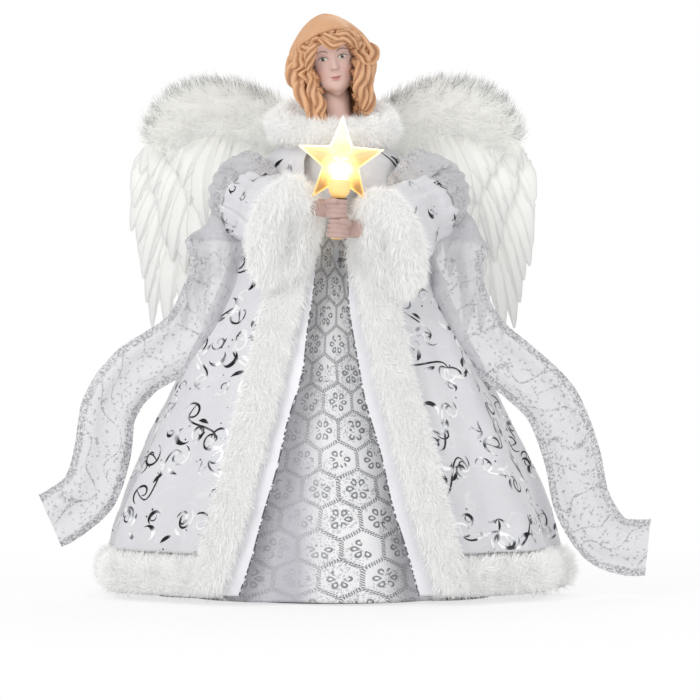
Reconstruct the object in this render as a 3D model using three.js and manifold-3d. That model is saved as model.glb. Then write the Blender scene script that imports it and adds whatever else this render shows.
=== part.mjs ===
// A tree-top angel with feather wings, a fur-trimmed robe and a lit star, as the pieces it is made of.
// Millimetres, +Z up, the figure faces -Y. Left and right are the figure's own: its right side is at -X.
import * as THREE from "three";
import { mergeVertices } from "three/addons/utils/BufferGeometryUtils.js";
import Module from "manifold-3d";

const wasm = await Module();
wasm.setup();

// Clearances
const gap = 0.3;
const overrun = 4;
const sliverSize = 0.08;

// Support cone that slips over the tree's top shoot
const coneHeight = 188;
const coneBaseRadius = 62;
const coneTopRadius = 15;
const coneWall = 1.4;
const coneRimHeight = 3;
const coneRimWidth = 1.6;

// Foam torso on the cone
const torsoHeight = 54;
const torsoWidth = 54;
const torsoDepth = 30;
const bodiceThickness = 1.1;

// Head, neck and shoulder plate, cast in one
const headHeight = 39;
const headWidth = 29;
const headDepth = 34;
const headShift = -1.5;
const headForward = 3;
const neckRadius = 7.6;
const neckLength = 21;
const neckOverlap = 9;
const plateWidth = 40;
const plateDepth = 25;
const plateHeight = 9;
const noseLength = 7;
const noseHeight = 3.2;
const noseWidth = 2.6;
const skullClearance = 0.9;

// Moulded hair
const hairThickness = 3;
const hairWidth = 52;
const hairDepth = 41;
const hairDrop = 33;
const hairDropBack = 23;
const hairWave = 1.3;
const hairLobeShare = 0.055;
const faceWidth = 21;

// Arms
const wireRadius = 1;
const paddingRadius = 5.5;
const shoulderDrop = 12;
const leftElbowReach = 52;
const rightElbowReach = 49;
const elbowDrop = 34;
const elbowForward = 8;
const wristReach = 17;
const wristDrop = 38;
const wristForward = 47;

// Hands round the candle
const gripDrop = 44;
const gripForward = 58;
const gripShift = 2.6;
const fingerRadius = 1.15;
const fingerPitch = 2.45;
const palmLength = 15;
const palmWidth = 10.5;
const palmThickness = 8;
const forearmRadius = 3.6;

// Candle, lamp and star
const stemRadius = 3;
const stemTail = 0.8;
const stemBore = 1.8;
const stemBoreDepth = 4;
const barrelRadius = 5.6;
const barrelHeight = 10;
const lampRadius = 2.5;
const lampHeight = 12;
const lampSeat = 4;
const lampFlange = 0.8;
const starRadius = 23.4;
const starNotchRadius = 9.8;
const starDepth = 7.5;
const starWall = 1.3;
const starRim = 1;
const starTravel = 20;

// Dress
const dressRise = 5;
const dressHemLift = 0.9;
const dressHemWidth = 184;
const dressHemDepth = 144;
const dressThickness = 1;
const dressFoldDepth = 3.6;

// Robe
const robeDrop = 6;
const robeHemWidth = 238;
const robeHemDepth = 166;
const robeThickness = 1.2;
const robeFoldDepth = 4;
const robeEdgeRightTop = 15;
const robeEdgeRightHem = 64;
const robeEdgeLeftTop = 13;
const robeEdgeLeftHem = 61;

// Fur borders
const trimWidth = 25;
const trimThickness = 11;
const trimEndLift = 3;
const hemWidth = 25;
const hemThickness = 15;
const hemFloorLift = 0.5;
const collarWidth = 53;
const collarDepth = 36;
const collarHeight = 24;
const collarThickness = 21;
const collarRise = 4.5;
const collarTilt = 7;
const cuffThickness = 20;

// Bell sleeves
const sleeveThickness = 1.2;
const sleeveRootRadius = 14;
const sleeveElbowRadius = 16;
const mouthWidth = 26;
const mouthHeight = 51;
const rightMouthReach = 25;
const rightMouthDrop = 51.5;
const leftMouthReach = 29;
const leftMouthDrop = 57;
const mouthForward = 49;

// Gauze shawl across the back and over both arms
const shawlWidth = 30;
const shawlThickness = 0.8;
const shawlDrop = 44.2;
const shawlClearance = 2;
const rightTailReach = 148;
const leftTailReach = 165;

// Wings
const anchorWidth = 36;
const anchorHeight = 20;
const anchorDrop = 17;
const anchorThickness = 2.4;
const knuckleRadius = 2.6;
const knuckleHeight = 12;
const hingeReach = 13;
const pinRadius = 0.9;
const pinClearance = 0.3;
const pinTail = 3;
const stemReach = 44;
const wingPlateThickness = 1.2;
const wingPlateWidth = 62;
const wingPlateHeight = 58;
const wingReach = 95;
const wingTopRise = 8;
const wingTipDrop = 118;
const featherThickness = 0.8;
const primaryWidth = 17;
const secondaryWidth = 15;
const covertWidth = 15;
const featherLayerStep = 2.1;
const downThickness = 17;
const downHeight = 29;
const downLift = 12;

// Supply lead
const leadRadius = 1.1;
const leadSag = 15;

// Battery box for two AA cells
const cellRadius = 7.1;
const cellLength = 49.5;
const nubRadius = 2.7;
const nubLength = 1;
const springLength = 5;
const springRadius = 3.6;
const springWire = 0.5;
const contactThickness = 0.5;
const contactWidth = 9;
const contactHeight = 9;
const boxWall = 2;
const boxBay = 9;
const lidThickness = 1.4;
const lidLip = 1;
const lidGroove = 1;
const lidRidge = 0.8;
const lidRidgePitch = 3;
const knobWidth = 4;
const knobDepth = 3;
const knobHeight = 2;
const knobTravel = 4;
const knobRoot = 3.5;
const boxLift = 9;
const boxPadWidth = 18;
const boxPadLength = 44;

const degrees = THREE.MathUtils.degToRad;
const { lerp, clamp, smoothstep } = THREE.MathUtils;
const point = (x, y, z) => new THREE.Vector3(x, y, z);

// Heights that several pieces share
const torsoBase = coneHeight + gap;
const torsoTop = torsoBase + torsoHeight;
const robeTop = torsoTop - robeDrop;
const robeHemLift = hemFloorLift + hemWidth + gap;
const dressTop = coneHeight + dressRise;
const headCentre = point(headShift, -headForward, torsoTop + neckLength + headHeight / 2);
const gripCentre = point(gripShift, -gripForward, torsoTop - gripDrop);
const gripLean = degrees(3);
const fistHeight = 4 * fingerPitch;

// Helpers: closed geometries, joins and cuts

function signedVolume(positions, triangles) {
  let sum = 0;
  const a = new THREE.Vector3();
  const b = new THREE.Vector3();
  const c = new THREE.Vector3();
  for (let i = 0; i < triangles.length; i += 3) {
    a.fromArray(positions, triangles[i] * 3);
    b.fromArray(positions, triangles[i + 1] * 3);
    c.fromArray(positions, triangles[i + 2] * 3);
    sum += a.dot(b.cross(c));
  }
  return sum / 6;
}

// A closed geometry as a solid, with its faces turned outwards.
function solidOf(geometry) {
  const bare = new THREE.BufferGeometry();
  bare.setAttribute("position", geometry.getAttribute("position"));
  bare.setIndex(geometry.index);
  const merged = mergeVertices(bare);
  const corners = merged.index.array;
  const kept = [];
  for (let i = 0; i < corners.length; i += 3) {
    const [a, b, c] = [corners[i], corners[i + 1], corners[i + 2]];
    if (a !== b && b !== c && c !== a) kept.push(a, b, c);
  }
  const positions = merged.getAttribute("position").array;
  const inward = signedVolume(positions, kept) < 0;
  if (inward) kept.reverse();
  return new wasm.Manifold(
    new wasm.Mesh({
      numProp: 3,
      vertProperties: new Float32Array(positions),
      triVerts: new Uint32Array(kept),
    }),
  );
}

function bufferOf(solid) {
  const mesh = solid.getMesh();
  const geometry = new THREE.BufferGeometry();
  const positions = new THREE.BufferAttribute(new Float32Array(mesh.vertProperties), 3);
  geometry.setAttribute("position", positions);
  geometry.setIndex(new THREE.BufferAttribute(new Uint32Array(mesh.triVerts), 1));
  geometry.computeVertexNormals();
  return geometry;
}

// The same solid, larger all round by the clearance that its neighbours keep.
const grownSolids = new Map();
const cornerShare = 1.5;

function grown(solid) {
  if (grownSolids.has(solid)) return grownSolids.get(solid);
  const geometry = bufferOf(solid);
  const position = geometry.getAttribute("position");
  const normal = geometry.getAttribute("normal");
  for (let i = 0; i < position.count; i += 1) {
    position.setXYZ(
      i,
      position.getX(i) + normal.getX(i) * gap * cornerShare,
      position.getY(i) + normal.getY(i) * gap * cornerShare,
      position.getZ(i) + normal.getZ(i) * gap * cornerShare,
    );
  }
  const larger = new wasm.Manifold(
    new wasm.Mesh({ numProp: 3, vertProperties: position.array, triVerts: geometry.index.array }),
  );
  grownSolids.set(solid, larger.add(solid));
  return grownSolids.get(solid);
}

// Cuts leave slivers, which go before the largest body is taken.
function largestBody(solid) {
  const bodies = solidOf(bufferOf(solid.simplify(sliverSize))).decompose();
  return bodies.reduce((best, body) => (body.volume() > best.volume() ? body : best));
}

// What is left of a piece once its neighbours and their clearance are cut from it.
function fitted(solid, ...neighbours) {
  return largestBody(neighbours.reduce((rest, neighbour) => rest.subtract(grown(neighbour)), solid));
}

const joined = (...solids) => solids.reduce((sum, solid) => sum.add(solid));
const moved = (solid, matrix) => solid.transform(matrix.elements);

function turned(profile, sides) {
  const points = profile.map(([radius, height]) => new THREE.Vector2(radius, height));
  return solidOf(new THREE.LatheGeometry(points, sides).rotateX(Math.PI / 2));
}

function box(width, depth, height, x, y, z) {
  return solidOf(new THREE.BoxGeometry(width, depth, height).translate(x, y, z));
}

function tube(curve, radius, sides, steps) {
  const section = new THREE.Shape();
  for (let i = 0; i < sides; i += 1) {
    const angle = (i / sides) * 2 * Math.PI;
    const [x, y] = [radius * Math.cos(angle), radius * Math.sin(angle)];
    if (i) section.lineTo(x, y);
    else section.moveTo(x, y);
  }
  section.closePath();
  return solidOf(new THREE.ExtrudeGeometry(section, { steps, extrudePath: curve, bevelEnabled: false }));
}

// A skin over rings of equal count, closed in a loop or capped at both ends.
function skin(rings, looped) {
  const count = rings[0].length;
  const positions = rings.flat().flatMap((p) => [p.x, p.y, p.z]);
  const indices = [];
  const spans = looped ? rings.length : rings.length - 1;
  for (let i = 0; i < spans; i += 1) {
    const next = (i + 1) % rings.length;
    for (let j = 0; j < count; j += 1) {
      const k = (j + 1) % count;
      indices.push(i * count + j, i * count + k, next * count + k);
      indices.push(i * count + j, next * count + k, next * count + j);
    }
  }
  if (!looped) {
    [0, rings.length - 1].forEach((end) => {
      const centre = rings[end].reduce((sum, p) => sum.add(p), point(0, 0, 0)).divideScalar(count);
      const hub = positions.length / 3;
      positions.push(centre.x, centre.y, centre.z);
      for (let j = 0; j < count; j += 1) {
        const edge = [end * count + ((j + 1) % count), end * count + j];
        indices.push(hub, ...(end ? edge.reverse() : edge));
      }
    });
  }
  const geometry = new THREE.BufferGeometry();
  geometry.setAttribute("position", new THREE.Float32BufferAttribute(positions, 3));
  geometry.setIndex(indices);
  return solidOf(geometry);
}

// Outward normals of a grid of points that runs downwards, row by row.
function gridNormals(grid, round) {
  const across = grid[0].length;
  return grid.map((row, i) =>
    row.map((_, j) => {
      const [up, down] = [grid[Math.max(i - 1, 0)][j], grid[Math.min(i + 1, grid.length - 1)][j]];
      const before = round ? row[(j + across - 1) % across] : row[Math.max(j - 1, 0)];
      const after = round ? row[(j + 1) % across] : row[Math.min(j + 1, across - 1)];
      return after.clone().sub(before).cross(up.clone().sub(down)).normalize();
    }),
  );
}

function offsetGrid(grid, normals, by) {
  return grid.map((row, i) => row.map((p, j) => p.clone().addScaledVector(normals[i][j], by)));
}

// A closed tube of cloth, such as a skirt or a sleeve, with its thickness about the grid.
function clothTube(grid, thickness) {
  const normals = gridNormals(grid, true);
  const outer = offsetGrid(grid, normals, thickness / 2);
  const inner = offsetGrid(grid, normals, -thickness / 2).reverse();
  return skin([...outer, ...inner], true);
}

// An open panel of cloth with its thickness about the grid.
function clothPanel(grid, thickness) {
  const normals = gridNormals(grid, false);
  const outer = offsetGrid(grid, normals, thickness / 2);
  const inner = offsetGrid(grid, normals, -thickness / 2);
  const [down, across] = [grid.length, grid[0].length];
  const positions = [...outer, ...inner].flat().flatMap((p) => [p.x, p.y, p.z]);
  const at = (side, i, j) => side * down * across + i * across + j;
  const indices = [];
  const quad = (a, b, c, d) => indices.push(a, b, c, a, c, d);
  for (let i = 0; i + 1 < down; i += 1) {
    for (let j = 0; j + 1 < across; j += 1) {
      quad(at(0, i, j), at(0, i, j + 1), at(0, i + 1, j + 1), at(0, i + 1, j));
      quad(at(1, i, j), at(1, i + 1, j), at(1, i + 1, j + 1), at(1, i, j + 1));
    }
    quad(at(0, i, 0), at(0, i + 1, 0), at(1, i + 1, 0), at(1, i, 0));
    const last = across - 1;
    quad(at(0, i, last), at(1, i, last), at(1, i + 1, last), at(0, i + 1, last));
  }
  for (let j = 0; j + 1 < across; j += 1) {
    quad(at(0, 0, j), at(1, 0, j), at(1, 0, j + 1), at(0, 0, j + 1));
    const end = down - 1;
    quad(at(0, end, j), at(0, end, j + 1), at(1, end, j + 1), at(1, end, j));
  }
  const geometry = new THREE.BufferGeometry();
  geometry.setAttribute("position", new THREE.Float32BufferAttribute(positions, 3));
  geometry.setIndex(indices);
  return solidOf(geometry);
}

// A value read from evenly spaced shares by a smooth curve, t from 0 to 1.
function shareAt(shares, t) {
  const last = shares.length - 1;
  const place = clamp(t, 0, 1) * last;
  const i = Math.min(Math.floor(place), last - 1);
  const [from, to] = [shares[i], shares[i + 1]];
  const [before, after] = [shares[Math.max(i - 1, 0)], shares[Math.min(i + 2, last)]];
  const f = place - i;
  const slopeFrom = (to - before) / 2;
  const slopeTo = (after - from) / 2;
  return (
    (2 * f ** 3 - 3 * f ** 2 + 1) * from +
    (f ** 3 - 2 * f ** 2 + f) * slopeFrom +
    (3 * f ** 2 - 2 * f ** 3) * to +
    (f ** 3 - f ** 2) * slopeTo
  );
}

// An elliptical ring of points about a centre, in the plane of two directions.
function ellipseRing(centre, across, up, halfAcross, halfUp, count) {
  return Array.from({ length: count }, (_, i) => {
    const angle = (i / count) * 2 * Math.PI;
    return centre
      .clone()
      .addScaledVector(across, halfAcross * Math.cos(angle))
      .addScaledVector(up, halfUp * Math.sin(angle));
  });
}

const axisX = point(1, 0, 0);
const axisY = point(0, 1, 0);
const axisZ = point(0, 0, 1);

// Support cone: a thin moulded shell with a rim at the foot and a flat crown
function coneOuterRadius(z) {
  return lerp(coneBaseRadius, coneTopRadius, z / coneHeight);
}

function supportCone() {
  const crown = coneHeight - coneWall;
  return turned(
    [
      [0, crown],
      [coneTopRadius - coneWall, crown],
      [coneBaseRadius - coneWall, 0],
      [coneBaseRadius + coneRimWidth, 0],
      [coneBaseRadius + coneRimWidth, coneRimHeight],
      [coneOuterRadius(coneRimHeight), coneRimHeight],
      [coneTopRadius, coneHeight],
      [0, coneHeight],
    ],
    30,
  );
}

// Torso: a foam form from the waist to the shoulders
const torsoWidthShares = [0.68, 0.66, 0.78, 0.94, 1, 0.86, 0.5];
const torsoDepthShares = [0.88, 0.86, 0.94, 1, 0.98, 0.84, 0.55];

function torsoGrid(offset, from, to, rows, count) {
  return Array.from({ length: rows }, (_, i) => {
    const share = lerp(from, to, i / (rows - 1));
    const centre = point(0, 0, torsoBase + torsoHeight * share);
    const halfWidth = (torsoWidth / 2) * shareAt(torsoWidthShares, share) + offset;
    const halfDepth = (torsoDepth / 2) * shareAt(torsoDepthShares, share) + offset;
    return ellipseRing(centre, axisX, axisY, halfWidth, halfDepth, count);
  });
}

// Head: rings from the chin to the crown, with a nose and the neck and shoulder plate joined on
const headWidthShares = [0.2, 0.56, 0.79, 0.91, 0.97, 1, 0.99, 0.9, 0.64, 0.06];
const headFrontShares = [0.66, 0.84, 0.85, 0.86, 0.87, 0.9, 0.9, 0.8, 0.55, 0.05];
const headBackShares = [-0.3, 0, 0.42, 0.72, 0.9, 1, 1, 0.9, 0.62, 0.05];
const headTurn = new THREE.Euler(degrees(7), degrees(-10), degrees(5), "ZYX");
const headFrame = new THREE.Matrix4()
  .makeRotationFromEuler(headTurn)
  .setPosition(headCentre);

// A point on the head, or on a larger copy of it: rise from 0 at the chin to 1 at the crown.
function headPoint(rise, angle, offset) {
  const z = (rise - 0.5) * headHeight;
  const halfWidth = (headWidth / 2) * shareAt(headWidthShares, rise) + offset;
  const front = (headDepth / 2) * shareAt(headFrontShares, rise) + offset;
  const back = (headDepth / 2) * shareAt(headBackShares, rise) + offset;
  const middle = (back - front) / 2;
  const halfDepth = (back + front) / 2;
  const lift = offset * (2 * rise - 1);
  return point(halfWidth * Math.sin(angle), middle - halfDepth * Math.cos(angle), z + lift);
}

function noseBump(p) {
  const tip = -headHeight * 0.09;
  const along = (p.z - tip) / noseLength;
  const shape = along > 0 ? clamp(1 - along, 0, 1) : clamp(1 + along * 3, 0, 1);
  return noseHeight * shape * Math.exp(-((p.x / noseWidth) ** 2));
}

// Points crowd towards the face, where the nose rises.
const frontShare = 0.5;

function skull() {
  const rings = 12;
  const count = 18;
  const rows = Array.from({ length: rings }, (_, i) =>
    Array.from({ length: count }, (__, j) => {
      const even = (j / count) * 2 * Math.PI;
      const p = headPoint(i / (rings - 1), even - frontShare * Math.sin(even), 0);
      if (p.y < 0) p.y -= noseBump(p);
      return p;
    }),
  );
  return moved(skin(rows, false), headFrame);
}

// The plain hollow that the moulded hair leaves for the skull
function skullRoom() {
  const rings = 9;
  const count = 14;
  const rows = Array.from({ length: rings }, (_, i) =>
    Array.from({ length: count }, (__, j) =>
      headPoint(i / (rings - 1), (j / count) * 2 * Math.PI, skullClearance),
    ),
  );
  return skin(rows, false);
}

function neck() {
  const neckTop = headCentre.clone().add(point(0, headForward, neckOverlap - headHeight / 2));
  const plateTop = point(headShift, 0, torsoTop + plateHeight / 2);
  const waist = neckTop.clone().lerp(plateTop, 0.5);
  const slope = point(headShift, 0, torsoTop);
  const foot = point(0, 0, torsoTop - plateHeight / 2);
  const ring = (centre, halfWidth, halfDepth) => ellipseRing(centre, axisX, axisY, halfWidth, halfDepth, 12);
  const rings = [
    ring(neckTop, neckRadius, neckRadius),
    ring(waist, neckRadius * 0.92, neckRadius * 0.92),
    ring(plateTop, neckRadius * 1.15, neckRadius * 1.15),
    ring(slope, plateWidth * 0.36, plateDepth * 0.4),
    ring(foot, plateWidth / 2, plateDepth / 2),
  ];
  return skin(rings, false);
}

// Hair: a moulded mass with wavy lobes for its locks, open round the face
const hairWidthShares = [0.56, 0.75, 0.89, 0.94, 0.94, 1, 0.97, 0.9, 0.79, 0.58, 0.03];
const hairDepthShares = [0.62, 0.72, 0.82, 0.9, 0.95, 1, 1, 0.97, 0.88, 0.66, 0.03];
const hairLobes = 9;
const crownPower = 1.5;

// t runs from the ends of the locks to the crown; the ends are higher at the nape.
function hairPoint(t, angle) {
  const napeShare = clamp(-Math.cos(angle), 0, 1);
  const crown = headHeight / 2 + hairThickness;
  const z = lerp(-lerp(hairDrop, hairDropBack, napeShare), crown, t);
  const level = (z + hairDrop) / (crown + hairDrop);
  const lobe = 1 + hairLobeShare * Math.sin(hairLobes * angle + hairWave * Math.sin(t * 9)) * (1 - t ** 3);
  const halfWidth = (hairWidth / 2) * shareAt(hairWidthShares, level) * lobe;
  const halfDepth = (hairDepth / 2) * shareAt(hairDepthShares, level) * lobe;
  return point(halfWidth * Math.sin(angle), hairThickness / 2 - halfDepth * Math.cos(angle), z);
}

function hair(neckSolid) {
  const rows = 10;
  const count = 30;
  const shell = Array.from({ length: rows }, (_, i) =>
    Array.from({ length: count }, (__, j) => {
      const t = 1 - (1 - i / (rows - 1)) ** crownPower;
      return hairPoint(t, (j / count) * 2 * Math.PI);
    }),
  );
  const hairline = headHeight * 0.24;
  const opening = new THREE.Shape();
  opening.moveTo(-faceWidth * 0.36, -headHeight);
  opening.lineTo(faceWidth * 0.36, -headHeight);
  opening.absarc(0, hairline - faceWidth / 2, faceWidth / 2, 0, Math.PI);
  opening.closePath();
  const cut = { depth: headDepth, curveSegments: 7, bevelEnabled: false };
  const face = solidOf(new THREE.ExtrudeGeometry(opening, cut).rotateX(Math.PI / 2));
  const locks = skin(shell, false).subtract(face).subtract(skullRoom());
  return fitted(moved(locks, headFrame), neckSolid);
}

// A limb that follows a path, its radius changing by shares along it
function limb(path, radius, radiusShares, sides, steps) {
  const curve = new THREE.CatmullRomCurve3(path);
  const frames = curve.computeFrenetFrames(steps, false);
  const rings = Array.from({ length: steps + 1 }, (_, i) => {
    const share = i / steps;
    const r = radius * shareAt(radiusShares, share);
    return ellipseRing(curve.getPointAt(share), frames.normals[i], frames.binormals[i], r, r, sides);
  });
  return skin(rings, false);
}

// Arm wire: one wire from wrist to wrist through the torso
const sides = [-1, 1];
const shoulder = (side) => point(side * torsoWidth * 0.46, 0, torsoTop - shoulderDrop);
const elbow = (side) =>
  point(side > 0 ? leftElbowReach : -rightElbowReach, -elbowForward, torsoTop - elbowDrop);
const wrist = (side) => point(side * wristReach, -wristForward, torsoTop - wristDrop);

function armCurve() {
  const [rightSide, leftSide] = sides;
  return new THREE.CatmullRomCurve3([
    wrist(rightSide),
    elbow(rightSide).lerp(wrist(rightSide), 0.45),
    elbow(rightSide),
    shoulder(rightSide),
    shoulder(leftSide),
    elbow(leftSide),
    elbow(leftSide).lerp(wrist(leftSide), 0.45),
    wrist(leftSide),
  ]);
}

// Padding follows the wire from the shoulder to just short of the wrist.
const paddingShares = [0.9, 1, 0.95, 0.8, 0.6];

function armPadding(side) {
  const wire = armCurve();
  const shoulderPlace = (3 + 0.5 * (side + 1)) / 7;
  const wristPlace = side > 0 ? 0.96 : 0.04;
  const path = Array.from({ length: 7 }, (_, i) => wire.getPoint(lerp(shoulderPlace, wristPlace, i / 6)));
  return limb(path, paddingRadius, paddingShares, 7, 6);
}

// Hands: a palm, four curled fingers and a thumb, round the candle's stem
const fingerShares = [0.95, 1.04, 1, 1, 0.8];
const thumbShares = [1, 1, 0.7];
const palmShares = [0.45, 0.95, 1, 0.78, 0.6];
const forearmShares = [0.85, 1, 1.1];

function fist(side, fistFloor) {
  const wrap = stemRadius + 2 * gap + fingerRadius;
  const fingers = [0, 1, 2, 3].map((i) => {
    const z = fistFloor + fingerPitch * (i + 0.5);
    const path = Array.from({ length: 5 }, (_, k) => {
      const angle = lerp(degrees(-150), degrees(62 - 7 * i), k / 4) * -side;
      return point(wrap * Math.sin(angle), -wrap * Math.cos(angle), z);
    });
    return limb(path, fingerRadius, fingerShares, 5, 6);
  });
  const mid = fistFloor + fistHeight / 2;
  const knuckle = point(side * wrap * 0.55, wrap * 0.75, mid);
  const heel = point(side * (wrap + palmLength * 0.55), palmThickness * 0.5, mid);
  const away = heel.clone().sub(knuckle).normalize();
  const across = away.clone().cross(axisZ);
  const palmRings = palmShares.map((share, i) => {
    const along = palmLength * (i / (palmShares.length - 1)) - fingerRadius;
    const centre = knuckle.clone().addScaledVector(away, along);
    return ellipseRing(centre, across, axisZ, (palmThickness / 2) * share, (palmWidth / 2) * share, 8);
  });
  const thumbPath = [
    point(side * (wrap + fingerRadius), wrap * 0.3, mid + fingerPitch),
    point(side * wrap * 0.9, -wrap * 0.75, mid + fingerPitch * 1.5),
    point(side * wrap * 0.1, -wrap - fingerRadius * 1.6, mid + fingerPitch * 1.6),
  ];
  const thumb = limb(thumbPath, fingerRadius * 1.1, thumbShares, 5, 4);
  return joined(skin(palmRings, false), ...fingers, thumb);
}

const gripFrame = new THREE.Matrix4().makeRotationY(gripLean).setPosition(gripCentre);

function forearm(side, fistFloor) {
  const heelReach = stemRadius + palmLength * 0.75;
  const heel = point(side * heelReach, palmThickness * 0.7, fistFloor + fistHeight / 2);
  heel.applyMatrix4(gripFrame);
  const forearmEnd = elbow(side).lerp(wrist(side), 0.9);
  return limb([heel, wrist(side), forearmEnd], forearmRadius, forearmShares, 7, 3);
}

function hand(side, fistFloor, stem, wire) {
  const closed = moved(fist(side, fistFloor), gripFrame);
  return fitted(closed.add(forearm(side, fistFloor)), stem, wire);
}

// Candle: a stem in the fists, a rounded barrel above, and a seat for the lamp
const stemFoot = -fistHeight - stemTail;
const barrelFoot = fistHeight + gap;
const barrelTop = barrelFoot + barrelHeight;

function candle() {
  const bend = barrelRadius * 0.7;
  return turned(
    [
      [0, stemFoot + stemBoreDepth],
      [stemBore, stemFoot + stemBoreDepth],
      [stemBore, stemFoot],
      [stemRadius, stemFoot],
      [stemRadius, barrelFoot],
      [barrelRadius * 0.55, barrelFoot],
      [barrelRadius * 0.9, barrelFoot + bend * 0.5],
      [barrelRadius, barrelFoot + bend],
      [barrelRadius, barrelTop],
      [lampRadius + gap, barrelTop],
      [lampRadius + gap, barrelTop - lampSeat],
      [0, barrelTop - lampSeat],
    ],
    16,
  );
}

function lamp() {
  const foot = barrelTop - lampSeat + gap;
  const top = foot + lampHeight;
  const flangeFoot = barrelTop + gap;
  return turned(
    [
      [0, foot],
      [lampRadius, foot],
      [lampRadius, flangeFoot],
      [lampRadius + lampFlange, flangeFoot],
      [lampRadius + lampFlange, flangeFoot + lampFlange],
      [lampRadius, flangeFoot + lampFlange],
      [lampRadius, top - lampRadius],
      [lampRadius * 0.72, top - lampRadius * 0.3],
      [0, top],
    ],
    12,
  );
}

// Star: two clear half shells with faceted arms, pushed down over the lamp
const starCentreHeight = barrelTop + gap + starNotchRadius * 0.92;

function starHalf(facing) {
  const arms = 5;
  const pyramid = (radius, notch, depth) => {
    const outline = Array.from({ length: arms * 2 }, (_, i) => {
      const angle = (i / (arms * 2)) * 2 * Math.PI;
      const reach = i % 2 ? notch : radius;
      return point(reach * Math.sin(angle), 0, reach * Math.cos(angle));
    });
    const raised = (by) => outline.map((p) => p.clone().add(point(0, facing * by, 0)));
    const apex = outline.map((p) => p.clone().multiplyScalar(0.02).add(point(0, facing * depth, 0)));
    return skin([raised(gap / 2), raised(starRim), apex], false);
  };
  const inset = starWall / starDepth;
  const hollow = pyramid(
    starRadius * (1 - 2.2 * inset),
    starNotchRadius * (1 - inset),
    starDepth - starWall,
  );
  const sunk = hollow.translate([0, -facing * gap, 0]);
  const barrelReach = barrelTop + gap - starCentreHeight;
  const lampHole = turned(
    [
      [0, -starRadius],
      [barrelRadius + gap, -starRadius],
      [barrelRadius + gap, barrelReach],
      [lampRadius + lampFlange + gap, barrelReach],
      [lampRadius + lampFlange + gap, barrelReach + lampFlange + 2 * gap],
      [lampRadius + gap, barrelReach + lampFlange + 3 * gap],
      [lampRadius + gap, barrelReach + lampHeight],
      [0, barrelReach + lampHeight],
    ],
    16,
  );
  return largestBody(pyramid(starRadius, starNotchRadius, starDepth).subtract(sunk).subtract(lampHole));
}

// Room that the star takes as it is pulled up off the lamp
function starRoom() {
  const tips = [8, 6, 5, 4, 2].map((i) => {
    const angle = (i / 10) * 2 * Math.PI;
    const reach = i % 2 ? starNotchRadius : starRadius;
    return new THREE.Vector2(reach * Math.sin(angle), reach * Math.cos(angle));
  });
  const lifted = [tips.at(-1), tips[0]].map((tip) => tip.clone().add(new THREE.Vector2(0, starTravel)));
  const geometry = new THREE.ExtrudeGeometry(new THREE.Shape([...tips, ...lifted]), {
    depth: starDepth,
    bevelEnabled: false,
  });
  const room = solidOf(geometry.rotateX(Math.PI / 2).translate(0, starDepth / 2, starCentreHeight));
  return moved(room, gripFrame);
}

// Dress: a folded skirt from the waist to the floor
const dressWidthShares = [0.22, 0.36, 0.5, 0.64, 0.78, 0.9, 1];
const dressDepthShares = [0.25, 0.375, 0.51, 0.65, 0.79, 0.92, 1];

function dressPoint(angle, drop) {
  const halfWidth = (dressHemWidth / 2) * shareAt(dressWidthShares, drop);
  const halfDepth = (dressHemDepth / 2) * shareAt(dressDepthShares, drop);
  const wave = 0.75 * Math.cos(9 * angle - 1.3) + 0.25 * Math.cos(17 * angle + 0.8);
  const fold = 1 + (dressFoldDepth * 2 * drop * wave) / dressHemDepth;
  const z = dressTop * (1 - drop);
  return point(halfWidth * fold * Math.sin(angle), -halfDepth * fold * Math.cos(angle), z);
}

function dress() {
  const rows = 5;
  const count = 38;
  const lowest = 1 - dressHemLift / dressTop;
  const grid = Array.from({ length: rows }, (_, i) =>
    Array.from({ length: count }, (__, j) =>
      dressPoint((j / count) * 2 * Math.PI, (lowest * i) / (rows - 1)),
    ),
  );
  return clothTube(grid, dressThickness);
}

// Robe: an open-fronted coat that flares from the shoulders to the fur hem
const robeWidthShares = [0.29, 0.375, 0.51, 0.66, 0.81, 0.94, 1];
const robeDepthShares = [0.26, 0.34, 0.48, 0.62, 0.78, 0.91, 1];
const robeEdgePower = 1.12;

function robeEdgeX(side, z) {
  const share = clamp(1 - z / gripCentre.z, 0, 1) ** robeEdgePower;
  return side > 0
    ? lerp(robeEdgeLeftTop, robeEdgeLeftHem, share)
    : -lerp(robeEdgeRightTop, robeEdgeRightHem, share);
}

// u runs from the left front edge round the back to the right front edge.
function robePoint(u, z) {
  const drop = 1 - z / robeTop;
  const halfWidth = (robeHemWidth / 2) * shareAt(robeWidthShares, drop);
  const halfDepth = (robeHemDepth / 2) * shareAt(robeDepthShares, drop);
  const start = Math.asin(clamp(robeEdgeX(1, z) / halfWidth, -1, 1));
  const end = 2 * Math.PI + Math.asin(clamp(robeEdgeX(-1, z) / halfWidth, -1, 1));
  const angle = lerp(start, end, u);
  const fromEdge = smoothstep(Math.min(u, 1 - u), 0, 0.12);
  const wave = 0.7 * Math.cos(11 * angle + 0.6) + 0.3 * Math.cos(19 * angle);
  const fold = 1 + (robeFoldDepth * 2 * drop * wave * fromEdge) / robeHemDepth;
  return point(halfWidth * fold * Math.sin(angle), -halfDepth * fold * Math.cos(angle), z);
}

const robeRows = 6;
const robeColumns = 35;

function robeGrid(top) {
  return Array.from({ length: robeRows }, (_, i) => {
    const z = lerp(robeTop, robeHemLift, i / (robeRows - 1)) + (i ? 0 : top);
    return Array.from({ length: robeColumns }, (__, j) => robePoint(j / (robeColumns - 1), z));
  });
}

function robe(...inside) {
  return fitted(clothPanel(robeGrid(0), robeThickness), ...inside);
}

// The room that the robe's upper part takes up, closed across its open front.
function robeRoom() {
  const grid = robeGrid(robeThickness);
  return skin(offsetGrid(grid, gridNormals(grid, true), robeThickness / 2).slice(0, robeRows / 2), false);
}

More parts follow.
